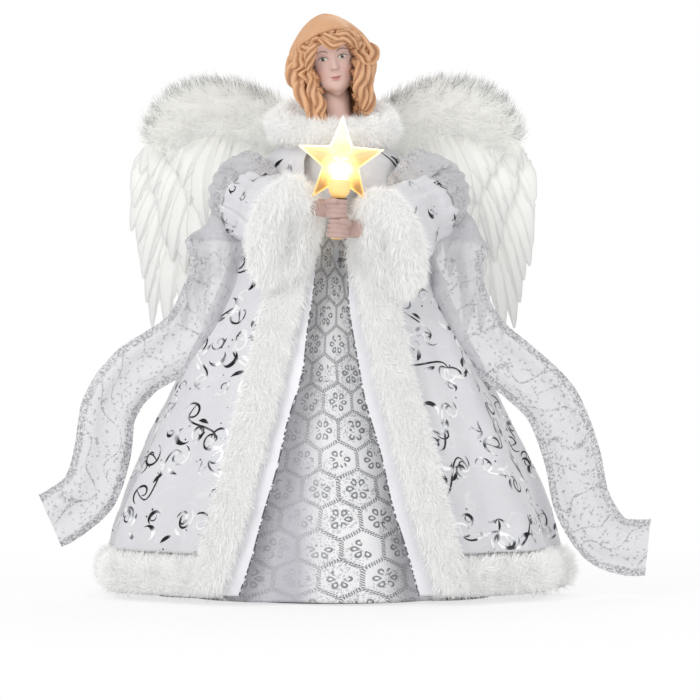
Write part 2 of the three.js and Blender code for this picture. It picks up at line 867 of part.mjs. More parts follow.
// Outward direction of the robe, and the direction along its rim, at a place on it
function robeFrame(u, z, nudge) {
  const along = robePoint(Math.min(u + 0.01, 1), z).sub(robePoint(Math.max(u - 0.01, 0), z)).normalize();
  const up = robePoint(u, z + nudge).sub(robePoint(u, z - nudge)).normalize();
  return { along, up, outward: along.clone().cross(up).normalize() };
}

// Fur border down a front edge
const trimShares = [0.55, 0.95, 1, 1, 1, 1, 1, 1, 1, 1, 0.98, 0.8];

function frontTrim(side) {
  const u = side > 0 ? 0 : 1;
  const lowest = trimEndLift + trimThickness / 2;
  const rings = trimShares.map((share, i) => {
    const z = lerp(gripCentre.z, lowest, i / (trimShares.length - 1));
    const { along, outward } = robeFrame(u, z, trimThickness / 2);
    const centre = robePoint(u, z).addScaledVector(outward, trimThickness * 0.5);
    centre.z = Math.max(centre.z, hemFloorLift + trimThickness / 2);
    return ellipseRing(centre, along, outward, (trimWidth / 2) * share, (trimThickness / 2) * share, 8);
  });
  return skin(rings, false);
}

// Fur border round the hem
function hemBorder() {
  const stations = 29;
  const middle = hemFloorLift + hemWidth / 2;
  const rings = Array.from({ length: stations }, (_, i) => {
    const u = i / (stations - 1);
    const { outward } = robeFrame(u, robeHemLift, robeHemLift / 2);
    outward.z = 0;
    outward.normalize();
    const centre = robePoint(u, robeHemLift);
    centre.z = middle;
    return ellipseRing(centre, outward, axisZ, hemThickness / 2, hemWidth / 2, 8);
  });
  return skin(rings, false);
}

// Collar: a fur ring that lies on the shoulders, lower in front
function collarRing() {
  const stations = 18;
  const rings = Array.from({ length: stations }, (_, i) => {
    const angle = (i / stations) * 2 * Math.PI;
    const outward = point(Math.sin(angle), -Math.cos(angle), 0);
    const centre = point(
      (collarWidth / 2) * Math.sin(angle),
      (-collarDepth / 2) * Math.cos(angle),
      torsoTop + collarRise - collarTilt * Math.cos(angle) * 0.5,
    );
    return ellipseRing(centre, outward, axisZ, collarThickness / 2, collarHeight / 2, 8);
  });
  return skin(rings, true);
}

// Bell sleeves: tubes from the shoulder over the elbow to a tall hanging mouth
function sleeveFrame(side, share) {
  const mouth =
    side > 0
      ? point(leftMouthReach, -mouthForward, torsoTop - leftMouthDrop)
      : point(-rightMouthReach, -mouthForward, torsoTop - rightMouthDrop);
  const curve = new THREE.CatmullRomCurve3([
    shoulder(side),
    shoulder(side).lerp(elbow(side), 0.6),
    elbow(side),
    elbow(side).lerp(mouth, 0.5),
    mouth,
  ]);
  const centre = curve.getPoint(share);
  const along = curve.getTangent(share);
  const across = along.clone().cross(axisZ).normalize();
  return { centre, along, across, up: across.clone().cross(along).normalize() };
}

function sleeveSection(share) {
  const opening = smoothstep(share, 0.45, 1);
  const plain = lerp(sleeveRootRadius, sleeveElbowRadius, smoothstep(share, 0, 0.5));
  return [lerp(plain, mouthWidth / 2, opening), lerp(plain, mouthHeight / 2, opening)];
}

// A sleeve ends where the fur of its cuff begins.
function sleeve(side) {
  const rows = 7;
  const reach = shoulder(side).distanceTo(elbow(side)) + elbow(side).distanceTo(sleeveFrame(side, 1).centre);
  const endShare = 1 - (cuffThickness / 2 + gap) / reach;
  const grid = Array.from({ length: rows }, (_, i) => {
    const share = lerp(0.2, endShare, i / (rows - 1));
    const { centre, across, up } = sleeveFrame(side, share);
    const [halfAcross, halfUp] = sleeveSection(share);
    return ellipseRing(centre, across, up, halfAcross, halfUp, 12);
  });
  return clothTube(grid, sleeveThickness);
}

// Fur cuff round a sleeve's mouth
function cuffRing(side) {
  const { centre, along, across, up } = sleeveFrame(side, 1);
  const stations = 15;
  const fur = cuffThickness / 2;
  const rings = Array.from({ length: stations }, (_, i) => {
    const angle = (i / stations) * 2 * Math.PI;
    const outward = across
      .clone()
      .multiplyScalar(Math.cos(angle))
      .addScaledVector(up, Math.sin(angle));
    const middle = centre
      .clone()
      .addScaledVector(across, (mouthWidth / 2) * Math.cos(angle))
      .addScaledVector(up, (mouthHeight / 2) * Math.sin(angle));
    return ellipseRing(middle, outward, along, fur, fur, 8);
  });
  return skin(rings, true);
}

// Shawl: one gauze strip behind the back, over both elbows, that flies out in two tails.
// Each row is a share of the tail's reach, of the robe's depth and of the strip's height at the back,
// then the direction across the strip.
const rightShawlShares = [
  [0.39, 0.06, 1.04, [0.25, 0, 1]],
  [0.42, -0.42, 1.01, [0.7, 0.1, 0.7]],
  [0.4, -0.72, 0.89, [1, 0.3, 0.1]],
  [0.44, -0.74, 0.78, [0.8, 0.2, 0.6]],
  [0.51, -0.6, 0.69, [0.3, 0, 1]],
  [0.6, -0.5, 0.64, [0, 0, 1]],
  [0.7, -0.48, 0.59, [0.15, 0, 1]],
  [0.785, -0.5, 0.5, [0.8, 0.35, 0.55]],
  [0.815, -0.5, 0.38, [1, 0.1, 0]],
  [0.86, -0.45, 0.28, [0.9, -0.1, 0.4]],
  [0.95, -0.4, 0.22, [0.3, 0, 1]],
  [1, -0.4, 0.2, [0.1, 0, 1]],
];
const leftShawlShares = [
  [0.385, 0.06, 1.04, [-0.25, 0, 1]],
  [0.41, -0.42, 1.01, [-0.7, 0.1, 0.7]],
  [0.38, -0.72, 0.89, [-1, 0.3, 0.1]],
  [0.4, -0.74, 0.78, [-0.8, 0.2, 0.6]],
  [0.47, -0.6, 0.68, [-0.5, 0, 1]],
  [0.58, -0.48, 0.6, [-0.25, 0, 1]],
  [0.69, -0.45, 0.51, [-0.6, 0.1, 0.8]],
  [0.755, -0.45, 0.38, [-1, 0.2, 0.15]],
  [0.79, -0.4, 0.25, [-1, 0.1, 0.1]],
  [0.86, -0.36, 0.155, [-0.6, -0.1, 0.8]],
  [0.94, -0.33, 0.13, [0, 0, 1]],
  [1, -0.33, 0.13, [0.1, 0, 1]],
];

function shawl(...neighbours) {
  const level = torsoTop - shawlDrop;
  const standOff = (robeThickness + shawlThickness) / 2 + shawlClearance;
  const backStop = (u) => {
    const { up, outward } = robeFrame(u, level, shawlWidth / 2);
    return { centre: robePoint(u, level).addScaledVector(outward, standOff), across: up };
  };
  const backShares = [0.68, 0.59, 0.5, 0.41, 0.32];
  const depth = backStop(0.5).centre.y;
  const sideStop = (side, tailReach) => ([reach, forward, height, across]) => ({
    centre: point(side * tailReach * reach, depth * forward, level * height),
    across: point(across[0], across[1], across[2]).normalize(),
  });
  const stops = [
    ...rightShawlShares.map(sideStop(-1, rightTailReach)).reverse(),
    ...backShares.map(backStop),
    ...leftShawlShares.map(sideStop(1, leftTailReach)),
  ];
  const centres = new THREE.CatmullRomCurve3(stops.map((stop) => stop.centre));
  const directions = new THREE.CatmullRomCurve3(stops.map((stop) => stop.across));
  const steps = 42;
  const grid = Array.from({ length: steps + 1 }, (_, i) => {
    const across = directions.getPoint(i / steps).normalize();
    return sides.map((edge) =>
      centres.getPoint(i / steps).addScaledVector(across, (edge * shawlWidth) / 2),
    );
  });
  return fitted(clothPanel(grid, shawlThickness), ...neighbours);
}

// Wings, made in their own frame: x runs outwards from the hinge, y backwards, z is the figure's height
const wingSweep = degrees(7);
const featherTwist = degrees(3.5);
const anchorMiddle = torsoTop - anchorDrop;
const anchorFace = robePoint(0.5, anchorMiddle - anchorHeight / 2).y + robeThickness / 2 + gap;
const knuckleSeatShare = 0.8;
const hingeY = anchorFace + anchorThickness + knuckleRadius * knuckleSeatShare;

// Root and tip of a feather: tips follow the wing's outline, roots lie on a line under the down.
const tipReachShares = [0.86, 0.98, 1, 0.98, 0.96, 0.93, 0.87, 0.76, 0.6];
const tipDropShares = [0.16, 0.3, 0.42, 0.54, 0.66, 0.79, 0.93, 1, 0.98];

function featherPlace(share, reachShare) {
  const top = torsoTop + wingTopRise;
  const root = point(
    wingReach * lerp(0.58, 0.22, share),
    0,
    top - wingTipDrop * lerp(0.02, 0.3, share),
  );
  const tip = point(
    wingReach * shareAt(tipReachShares, share),
    0,
    top - wingTipDrop * shareAt(tipDropShares, share),
  );
  return { root, tip: root.clone().lerp(tip, reachShare) };
}

function feather(root, tip, width) {
  const length = tip.distanceTo(root);
  const half = width / 2;
  const blade = new THREE.Shape();
  blade.moveTo(-half * 0.75, 0);
  blade.bezierCurveTo(-half * 1.1, length * 0.3, -half * 1.15, length * 0.75, 0, length);
  blade.bezierCurveTo(half * 1.25, length * 0.8, half * 1.05, length * 0.3, half * 0.75, 0);
  blade.closePath();
  const geometry = new THREE.ExtrudeGeometry(blade, {
    depth: featherThickness,
    curveSegments: 3,
    bevelEnabled: false,
  });
  const lean = Math.atan2(tip.x - root.x, root.z - tip.z);
  geometry.translate(0, 0, -featherThickness);
  geometry.rotateX(-Math.PI / 2).rotateZ(featherTwist).rotateY(-lean).translate(root.x, root.y, root.z);
  return solidOf(geometry);
}

function featherLayer(layer, count, width, reachShare, side) {
  const blades = Array.from({ length: count }, (_, k) => {
    const { root, tip } = featherPlace(k / (count - 1), reachShare);
    root.y = -featherLayerStep * layer;
    tip.y = root.y;
    return feather(root, tip, width);
  });
  return mirrored(joined(...blades), side);
}

function mirrored(solid, side) {
  return side > 0 ? solid : solid.mirror([1, 0, 0]);
}

const plateFace = (primaryWidth / 2) * Math.sin(featherTwist) + 2 * gap;

function wingPlate(side) {
  const outline = new THREE.Shape();
  const [x, z] = [hingeReach * 0.4 + wingPlateWidth / 2, anchorMiddle];
  outline.absellipse(x, z, wingPlateWidth / 2, wingPlateHeight / 2, 0, 2 * Math.PI);
  const geometry = new THREE.ExtrudeGeometry(outline, {
    depth: wingPlateThickness,
    curveSegments: 14,
    bevelEnabled: false,
  });
  geometry.rotateX(Math.PI / 2).translate(0, plateFace + wingPlateThickness, 0);
  return mirrored(solidOf(geometry), side);
}

function wingStem(side) {
  const behind = plateFace + wingPlateThickness + gap + pinRadius;
  const knuckleTop = anchorMiddle + knuckleHeight / 2;
  const bend = knuckleTop + pinTail * 2;
  const path = [
    point(0, 0, anchorMiddle - knuckleHeight / 2 - pinTail),
    point(0, 0, anchorMiddle),
    point(0, 0, knuckleTop),
    point(0, 0, bend),
    point(pinTail, behind, bend + pinTail),
    point(stemReach * 0.5, behind, bend + pinTail * 1.3),
    point(stemReach, behind, bend + pinTail * 1.6),
  ];
  return mirrored(tube(new THREE.CatmullRomCurve3(path), pinRadius, 6, 12), side);
}

// Room for the plate and the feathers, which the down is folded over
const roomShares = [
  [0, 1],
  [0, 0.24],
  [0.15, -0.01],
  [0.5, -0.07],
  [0.72, -0.035],
  [1.1, 0.12],
  [1.1, 1],
];

function featherRoom() {
  const top = torsoTop + wingTopRise;
  const outline = new THREE.Shape(
    roomShares.map(([reach, drop]) => new THREE.Vector2(wingReach * reach, top - wingTipDrop * drop)),
  );
  const back = plateFace + wingPlateThickness + gap;
  const front = plateFace + featherThickness + 2 * featherLayerStep;
  const geometry = new THREE.ExtrudeGeometry(outline, { depth: back + front, bevelEnabled: false });
  return solidOf(geometry.rotateX(Math.PI / 2).translate(0, back, 0));
}

function wingDown(side, stem) {
  const top = torsoTop + wingTopRise;
  const path = [
    point(wingReach * 0.12, 0, top - downLift * 1.3),
    point(wingReach * 0.27, 0, top + downLift * 0.1),
    point(wingReach * 0.48, 0, top + downLift * 0.62),
    point(wingReach * 0.68, 0, top + downLift * 0.3),
    point(wingReach * 0.83, 0, top - downLift * 1.2),
  ];
  const curve = new THREE.CatmullRomCurve3(path);
  const downShares = [0.45, 0.95, 1, 1.02, 1, 0.96, 0.5];
  const steps = 8;
  const rings = Array.from({ length: steps + 1 }, (_, i) => {
    const share = i / steps;
    const along = curve.getTangentAt(share);
    const up = axisY.clone().cross(along).normalize();
    const swell = shareAt(downShares, share);
    const centre = curve.getPointAt(share);
    centre.y = -featherLayerStep;
    return ellipseRing(centre, axisY, up, (downThickness / 2) * swell, (downHeight / 2) * swell, 10);
  });
  const folded = skin(rings, false).subtract(featherRoom());
  return fitted(mirrored(folded, side), stem);
}

// Anchor: a plate sewn to the robe's back, with a knuckle for each wing's pin
function wingAnchor(...neighbours) {
  const depth = anchorThickness + 2 * overrun;
  const plateY = anchorFace + anchorThickness - depth / 2;
  const plate = box(anchorWidth, depth, anchorHeight, 0, plateY, anchorMiddle);
  const bore = pinRadius + pinClearance;
  const knuckles = sides.map((side) =>
    turned(
      [
        [0, -knuckleHeight / 2],
        [knuckleRadius, -knuckleHeight / 2],
        [knuckleRadius, knuckleHeight / 2],
        [0, knuckleHeight / 2],
      ],
      14,
    ).translate([side * hingeReach, hingeY, anchorMiddle]),
  );
  const holes = sides.map((side) =>
    turned(
      [
        [0, -anchorHeight],
        [bore, -anchorHeight],
        [bore, anchorHeight],
        [0, anchorHeight],
      ],
      12,
    ).translate([side * hingeReach, hingeY, anchorMiddle]),
  );
  const whole = joined(plate, ...knuckles);
  return fitted(holes.reduce((left, hole) => left.subtract(hole), whole), ...neighbours);
}

// Battery box, made in its own frame: z runs up the cone's slant, y points into the wall
const slant = Math.atan((coneBaseRadius - coneTopRadius) / coneHeight);
const boxWidth = 4 * cellRadius + 3 * gap + 2 * boxWall;
const boxDepth = 2 * cellRadius + 2 * gap + boxWall + lidThickness + lidLip;
const bayLength = cellLength + nubLength + springLength + 2 * contactThickness + 2 * gap;
const boxLength = boxBay + bayLength + boxWall;
const cellX = cellRadius + gap / 2;
const cellY = -(boxWall + gap + cellRadius);
const bayTop = boxBay + bayLength;

function boxCase() {
  const whole = box(boxWidth, boxDepth, boxLength, 0, -boxDepth / 2, boxLength / 2);
  const inner = boxWidth - 2 * boxWall;
  const cellSpace = box(inner, boxDepth, bayLength, 0, -boxWall - boxDepth / 2, boxBay + bayLength / 2);
  const lidSpace = lidThickness + lidLip + gap;
  const slideLength = bayTop + overrun;
  const mouth = box(
    inner,
    lidSpace + overrun,
    slideLength,
    0,
    -boxDepth + lidSpace - (lidSpace + overrun) / 2,
    bayTop - slideLength / 2,
  );
  const groove = box(
    inner + 2 * lidGroove,
    lidThickness + 2 * gap,
    slideLength,
    0,
    -boxDepth + lidLip + lidThickness / 2,
    bayTop - slideLength / 2,
  );
  const slot = box(
    knobWidth + knobTravel + 2 * gap,
    knobDepth + 2 * gap,
    knobRoot + overrun,
    knobTravel / 2,
    -boxDepth / 2,
    knobRoot - (knobRoot + overrun) / 2,
  );
  const leadHole = turned(
    [
      [0, bayTop - overrun],
      [leadRadius + gap, bayTop - overrun],
      [leadRadius + gap, boxLength + overrun],
      [0, boxLength + overrun],
    ],
    10,
  ).translate([0, cellY, 0]);
  return [cellSpace, mouth, groove, slot, leadHole].reduce((left, cut) => left.subtract(cut), whole);
}

function boxLid() {
  const inner = boxWidth - 2 * boxWall;
  const length = bayTop - gap;
  const y = -boxDepth + lidLip + lidThickness / 2;
  const plate = box(inner + 2 * lidGroove - 2 * gap, lidThickness, length, 0, y, length / 2);
  const ridges = [1, 2, 3, 4].map((i) =>
    box(
      inner * 0.5,
      lidRidge + lidThickness,
      lidRidge,
      0,
      y - lidRidge / 2,
      lidRidgePitch * i,
    ),
  );
  return joined(plate, ...ridges);
}

function cell(side) {
  const inset = contactThickness + springLength + gap;
  const foot = side > 0 ? boxBay + inset : bayTop - inset;
  const body = [
    [0, 0],
    [cellRadius - lidRidge, 0],
    [cellRadius, lidRidge],
    [cellRadius, cellLength - lidRidge],
    [cellRadius - lidRidge, cellLength],
    [nubRadius, cellLength],
    [nubRadius, cellLength + nubLength],
    [0, cellLength + nubLength],
  ];
  return turned(body, 14)
    .transform(new THREE.Matrix4().makeRotationX(side > 0 ? 0 : Math.PI).elements)
    .translate([side * cellX, cellY, foot]);
}

function contactSpring(side) {
  const turns = 3;
  const steps = 8 * turns;
  const length = springLength - 2 * springWire - 2 * gap;
  const path = Array.from({ length: steps + 1 }, (_, i) => {
    const share = i / steps;
    const radius = springRadius * lerp(1, 0.7, share);
    const angle = share * turns * 2 * Math.PI;
    const along = side > 0 ? share : -share;
    return point(radius * Math.cos(angle), radius * Math.sin(angle), length * along);
  });
  const foot = side > 0 ? boxBay + contactThickness : bayTop - contactThickness;
  const seat = foot + Math.sign(side) * (gap + springWire);
  return tube(new THREE.CatmullRomCurve3(path), springWire, 5, steps).translate([side * cellX, cellY, seat]);
}

// A contact lies against an end of the cells' space; the wide one at the top joins the two cells.
function contactPlate(x, width, foot) {
  const thickness = contactThickness - gap / 2;
  return box(width, contactHeight, thickness, x, cellY, foot + thickness / 2);
}

function switchKnob() {
  const height = knobHeight + knobRoot - gap;
  return box(knobWidth, knobDepth, height, 0, -boxDepth / 2, knobRoot - gap - height / 2);
}

const wallInset = coneWall / Math.cos(slant);
const coneRadiusAtBoxTop = coneOuterRadius(boxLift + boxLength) - wallInset - gap;
const boxCornerRise = coneRadiusAtBoxTop - Math.sqrt(coneRadiusAtBoxTop ** 2 - (boxWidth / 2) ** 2);
const padSeat = boxCornerRise + 2 * gap;
const boxFrame = new THREE.Matrix4()
  .makeRotationX(slant)
  .setPosition(
    0,
    coneBaseRadius - wallInset - boxLift * Math.sin(slant) - padSeat * Math.cos(slant),
    boxLift * Math.cos(slant) - padSeat * Math.sin(slant),
  );

function boxPad(coneSolid) {
  const depth = padSeat + coneWall / 2;
  const pad = box(boxPadWidth, depth, boxPadLength, 0, gap + depth / 2, boxLength / 2);
  return fitted(moved(pad, boxFrame), coneSolid);
}

// Supply lead: from the candle, round the waist under the dress, through the cone and down to the box
function leadCurve() {
  const start = point(0, 0, stemFoot + stemBoreDepth - gap).applyMatrix4(gripFrame);
  const leave = point(0, 0, stemFoot - leadRadius * 3).applyMatrix4(gripFrame);
  const clearOfCone = (z) => coneOuterRadius(z) + leadRadius + 3 * gap;
  const waist = dressTop - leadSag;
  const turnShares = [0.12, 0.3, 0.5, 0.7, 0.88];
  const turn = turnShares.map((share) => {
    const z = waist - leadSag * 1.1 * share;
    const angle = Math.PI * share;
    return point(clearOfCone(z) * Math.sin(angle), -clearOfCone(z) * Math.cos(angle), z);
  });
  const hole = waist - leadSag * 1.9;
  const inside = (z) => coneOuterRadius(z) - coneWall - leadRadius - 3 * gap;
  const entry = point(0, cellY, boxLength + leadRadius * 6).applyMatrix4(boxFrame);
  const end = point(0, cellY, boxLength - boxWall + gap).applyMatrix4(boxFrame);
  return new THREE.CatmullRomCurve3([
    start,
    leave,
    leave.clone().add(point(0, leadSag * 0.35, -leadSag * 0.45)),
    point(0, lerp(leave.y, -clearOfCone(waist), 0.62), waist - leadSag * 0.1),
    ...turn,
    point(0, clearOfCone(hole), hole + leadRadius * 2),
    point(0, inside(hole - leadSag * 0.8), hole - leadSag * 0.8),
    point(0, inside(hole - leadSag * 1.8), hole - leadSag * 1.8),
    entry,
    end,
  ]);
}

// Make the pieces, inner ones first, so that each is fitted to what it lies on

const lead = tube(leadCurve(), leadRadius, 8, 38);
const armWire = tube(armCurve(), wireRadius, 5, 26);
const torso = fitted(skin(torsoGrid(0, 0, 1, 6, 16), false), armWire, lead);
const coneBody = fitted(supportCone(), lead);
const padding = sides.map((side) => fitted(armPadding(side), torso, armWire));
const neckForm = neck();
const neckCast = fitted(neckForm, torso);
const headCast = neckCast.add(skull());
const hairCast = hair(neckForm);
const bodiceGrid = torsoGrid(2 * gap + bodiceThickness / 2, 0, 0.8, 5, 16);
const bodice = fitted(clothTube(bodiceGrid, bodiceThickness), coneBody, ...padding, armWire, lead);
const skirt = fitted(dress(), bodice, coneBody, lead, torso);

const candleBody = moved(candle(), gripFrame);
const lampBody = moved(lamp(), gripFrame);
const leadFree = fitted(lead, candleBody);
const fistFloors = [gap / 2, -fistHeight - gap / 2];
const rightHand = hand(-1, fistFloors[0], candleBody, armWire);
const leftHand = fitted(hand(1, fistFloors[1], candleBody, armWire), rightHand);
const hands = [rightHand, leftHand];
const cuffedPadding = padding.map((pad, i) => fitted(pad, hands[i]));

const robeBody = robe(skirt, bodice, torso, ...padding, armWire, lead, headCast);
const robeInside = robeRoom();
const collarFur = fitted(collarRing(), neckForm, hairCast, torso, robeInside);
const sleeves = sides.map((side, i) =>
  fitted(sleeve(side), robeInside, collarFur, cuffedPadding[i], armWire, hands[i]),
);
const pullRoom = starRoom();
const rightCuff = fitted(cuffRing(-1), ...sleeves, ...hands, armWire, robeInside, robeBody, pullRoom);
const leftCuff = fitted(
  cuffRing(1),
  rightCuff,
  ...sleeves,
  ...hands,
  armWire,
  robeInside,
  robeBody,
  pullRoom,
);
const cuffs = [rightCuff, leftCuff];
const rightTrim = fitted(frontTrim(-1), robeBody, skirt, ...cuffs, ...sleeves, ...hands, leadFree);
const leftTrim = fitted(frontTrim(1), rightTrim, robeBody, skirt, ...cuffs, ...sleeves, ...hands, leadFree);
const hemFur = fitted(hemBorder(), robeBody, skirt, rightTrim, leftTrim);
const shawlBody = shawl(robeBody, ...sleeves, ...cuffs, rightTrim, leftTrim, hemFur, collarFur);
const anchorBody = wingAnchor(robeInside, robeBody);

const material = (color, roughness, metalness = 0, opacity = 1) =>
  new THREE.MeshStandardMaterial({ color, roughness, metalness, opacity, transparent: opacity < 1 });

const finishes = {
  coneBoard: material(0xe6e3dc, 0.8),
  foam: material(0xf1efe9, 0.95),
  skinPaint: material(0xd9b3a3, 0.55),
  hairPaint: material(0xd69a63, 0.6),
  steel: material(0xb9bcc0, 0.35, 1),
  padding: material(0xf3f2ee, 1),
  candle: material(0xf0c45a, 0.45),
  lamp: material(0xfff2c4, 0.2),
  clear: material(0xf6e2a8, 0.08, 0, 0.45),
  satin: material(0xd6d6dc, 0.35, 0.2),
  brocade: material(0xdadbe0, 0.45, 0.25),
  robeSatin: material(0xe9e9f0, 0.45),
  fur: material(0xf6f5f2, 1),
  gauze: material(0xe2e3e8, 0.6, 0.1, 0.6),
  feather: material(0xf4f3ea, 0.7),
  down: material(0xf3f2ef, 1),
  whitePlastic: material(0xf0f0ee, 0.5),
  cellWrap: material(0x4a6b8a, 0.35, 0.3),
  leadSheath: material(0xe9e7de, 0.5),
};

const named = (name, solid, finish) => {
  const mesh = new THREE.Mesh(bufferOf(solid), finish);
  mesh.name = name;
  return mesh;
};
const group = (...children) => new THREE.Group().add(...children);
const sideNames = ["right", "left"];

const support = group(
  named("support_cone", coneBody, finishes.coneBoard),
  named("torso_form", torso, finishes.foam),
  named("head", headCast, finishes.skinPaint),
  named("hair", hairCast, finishes.hairPaint),
  named("arm_wire", armWire, finishes.steel),
  named("bodice", bodice, finishes.satin),
  named("supply_lead", leadFree, finishes.leadSheath),
  ...sideNames.map((side, i) => named(`arm_padding_${side}`, cuffedPadding[i], finishes.padding)),
  ...sideNames.map((side, i) => named(`hand_${side}`, hands[i], finishes.skinPaint)),
);

const clothes = group(
  named("dress", skirt, finishes.brocade),
  named("robe", robeBody, finishes.robeSatin),
  named("fur_trim_right", rightTrim, finishes.fur),
  named("fur_trim_left", leftTrim, finishes.fur),
  named("fur_hem", hemFur, finishes.fur),
  named("fur_collar", collarFur, finishes.fur),
  named("shawl", shawlBody, finishes.gauze),
  ...sideNames.map((side, i) => named(`sleeve_${side}`, sleeves[i], finishes.robeSatin)),
  ...sideNames.map((side, i) => named(`fur_cuff_${side}`, cuffs[i], finishes.fur)),
);

const light = group(
  named("candle_socket", candleBody, finishes.candle),
  named("led_lamp", lampBody, finishes.lamp),
);

const star = group(
  named("star_front", starHalf(-1), finishes.clear),
  named("star_back", starHalf(1), finishes.clear),
);
star.name = "star_frame";
star.position.copy(point(0, 0, starCentreHeight).applyMatrix4(gripFrame));
star.rotation.y = gripLean;

function wing(side, sideName) {
  const primaries = featherLayer(0, 9, primaryWidth, 1, side);
  const secondaries = featherLayer(1, 8, secondaryWidth, 0.68, side);
  const coverts = featherLayer(2, 7, covertWidth, 0.42, side);
  const lower = fitted(secondaries, primaries);
  const upper = fitted(coverts, lower, primaries);
  const plate = fitted(wingPlate(side), primaries);
  const stem = wingStem(side);
  const down = wingDown(side, stem);
  const made = group(
    named(`wing_plate_${sideName}`, plate, finishes.whitePlastic),
    named(`wing_stem_${sideName}`, stem, finishes.steel),
    named(`wing_primaries_${sideName}`, primaries, finishes.feather),
    named(`wing_secondaries_${sideName}`, lower, finishes.feather),
    named(`wing_coverts_${sideName}`, upper, finishes.feather),
    named(`wing_down_${sideName}`, down, finishes.down),
  );
  made.name = `wing_frame_${sideName}`;
  made.position.set(side * hingeReach, hingeY, 0);
  made.rotation.z = side * wingSweep;
  return made;
}

const wings = group(
  named("wing_anchor", anchorBody, finishes.whitePlastic),
  ...sides.map((side, i) => wing(side, sideNames[i])),
);

const contactFoot = boxBay + gap / 2;
const bridgeWidth = 2 * cellX + contactWidth;
const bridgeFoot = bayTop - contactThickness;
const batteryBox = group(
  named("battery_case", boxCase(), finishes.whitePlastic),
  named("battery_lid", boxLid(), finishes.whitePlastic),
  named("cell_right", cell(-1), finishes.cellWrap),
  named("cell_left", cell(1), finishes.cellWrap),
  named("contact_right", contactPlate(-cellX, contactWidth, contactFoot), finishes.steel),
  named("contact_left", contactPlate(cellX, contactWidth, contactFoot), finishes.steel),
  named("contact_bridge", contactPlate(0, bridgeWidth, bridgeFoot), finishes.steel),
  named("contact_spring_right", contactSpring(-1), finishes.steel),
  named("contact_spring_left", contactSpring(1), finishes.steel),
  named("switch_knob", switchKnob(), finishes.whitePlastic),
);
batteryBox.name = "box_frame";
batteryBox.applyMatrix4(boxFrame);

const figure = group(
  support,
  clothes,
  light,
  star,
  wings,
  batteryBox,
  named("battery_pad", boxPad(coneBody), finishes.padding),
);
figure.name = "figure";

// The origin is the middle of the footprint, on the surface that the angel stands on.
const extent = new THREE.Box3().setFromObject(figure);
const middle = extent.getCenter(new THREE.Vector3());
figure.position.set(-middle.x, -middle.y, -extent.min.z);

const angel = group(figure);
angel.name = "angel_tree_topper";
export default angel;
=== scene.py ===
# A tree-top angel: fur, feathers, cloth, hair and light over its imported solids.
# Sizes in the dictionaries are millimetres in the figure's own frame, its axis at x = y = 0, facing -Y.
import bpy
import bmesh
import math
import numpy as np
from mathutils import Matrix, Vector, noise


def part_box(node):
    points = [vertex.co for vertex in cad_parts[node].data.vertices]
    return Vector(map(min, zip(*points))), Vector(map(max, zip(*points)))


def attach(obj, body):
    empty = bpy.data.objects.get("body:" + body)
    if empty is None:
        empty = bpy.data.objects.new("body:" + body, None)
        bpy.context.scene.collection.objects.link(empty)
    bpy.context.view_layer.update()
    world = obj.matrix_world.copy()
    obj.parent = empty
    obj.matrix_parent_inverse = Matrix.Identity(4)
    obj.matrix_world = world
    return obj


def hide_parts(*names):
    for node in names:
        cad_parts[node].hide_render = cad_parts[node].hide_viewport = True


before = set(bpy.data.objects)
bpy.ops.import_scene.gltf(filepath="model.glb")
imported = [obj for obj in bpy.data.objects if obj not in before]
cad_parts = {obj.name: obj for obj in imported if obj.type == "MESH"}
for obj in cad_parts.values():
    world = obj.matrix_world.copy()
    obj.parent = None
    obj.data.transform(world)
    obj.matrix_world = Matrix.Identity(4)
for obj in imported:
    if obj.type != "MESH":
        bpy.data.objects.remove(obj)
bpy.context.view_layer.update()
print("stage: frame loaded")

coneLow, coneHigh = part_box("support_cone")
figureOrigin = np.array([(coneLow.x + coneHigh.x) * 500, (coneLow.y + coneHigh.y) * 500, 0.0])
scene = bpy.context.scene


def toWorld(points):
    return (np.asarray(points, float) + figureOrigin) * 0.001


def linked(name, data):
    made = bpy.data.objects.new(name, data)
    scene.collection.objects.link(made)
    return made


# Camera and lamps
viewing = {"pixel": 0.525, "side": 700, "axisPixel": 333, "floorPixel": 595, "distance": 3000,
           "elevation": 2.0, "film": 36}


def aimed(name, data, place, way):
    made = linked(name, data)
    made.location = place
    made.rotation_mode = "QUATERNION"
    made.rotation_quaternion = way.to_track_quat("-Z", "Y")
    return made


def placeCamera():
    v = viewing
    tilt, middle = math.radians(v["elevation"]), v["side"] / 2
    aim = toWorld([(middle - v["axisPixel"]) * v["pixel"], 0, (v["floorPixel"] - middle) * v["pixel"]])
    data = bpy.data.cameras.new("camera")
    data.sensor_width = v["film"]
    data.lens = v["film"] * v["distance"] / (v["side"] * v["pixel"])
    back = Vector((0, -math.cos(tilt), math.sin(tilt)))
    scene.camera = aimed("camera", data, Vector(aim) + back * v["distance"] * 0.001, -back)


def areaLamp(name, place, aim, size, power):
    data = bpy.data.lights.new(name, "AREA")
    data.shape = "DISK"
    data.size = size
    data.energy = power
    aimed(name, data, place, Vector(aim) - Vector(place))


# Materials: small helpers
def newMaterial(name):
    made = bpy.data.materials.new(name)
    made.use_nodes = True
    return made, made.node_tree, made.node_tree.nodes["Principled BSDF"]


def put(tree, kind, settings=None, **inputs):
    node = tree.nodes.new(kind)
    for key, value in (settings or {}).items():
        setattr(node, key, value)
    for key, value in inputs.items():
        plug = node.inputs[int(key[1:])] if key[0] == "i" and key[1:].isdigit() else node.inputs[key]
        if isinstance(value, bpy.types.NodeSocket):
            tree.links.new(value, plug)
        else:
            plug.default_value = value
    return node


def sums(tree, operation, a, b=0.0, c=0.0):
    return put(tree, "ShaderNodeMath", {"operation": operation}, i0=a, i1=b, i2=c).outputs[0]


def times(tree, a, b):
    return sums(tree, "MULTIPLY", a, b)


def plus(tree, a, b):
    return sums(tree, "ADD", a, b)


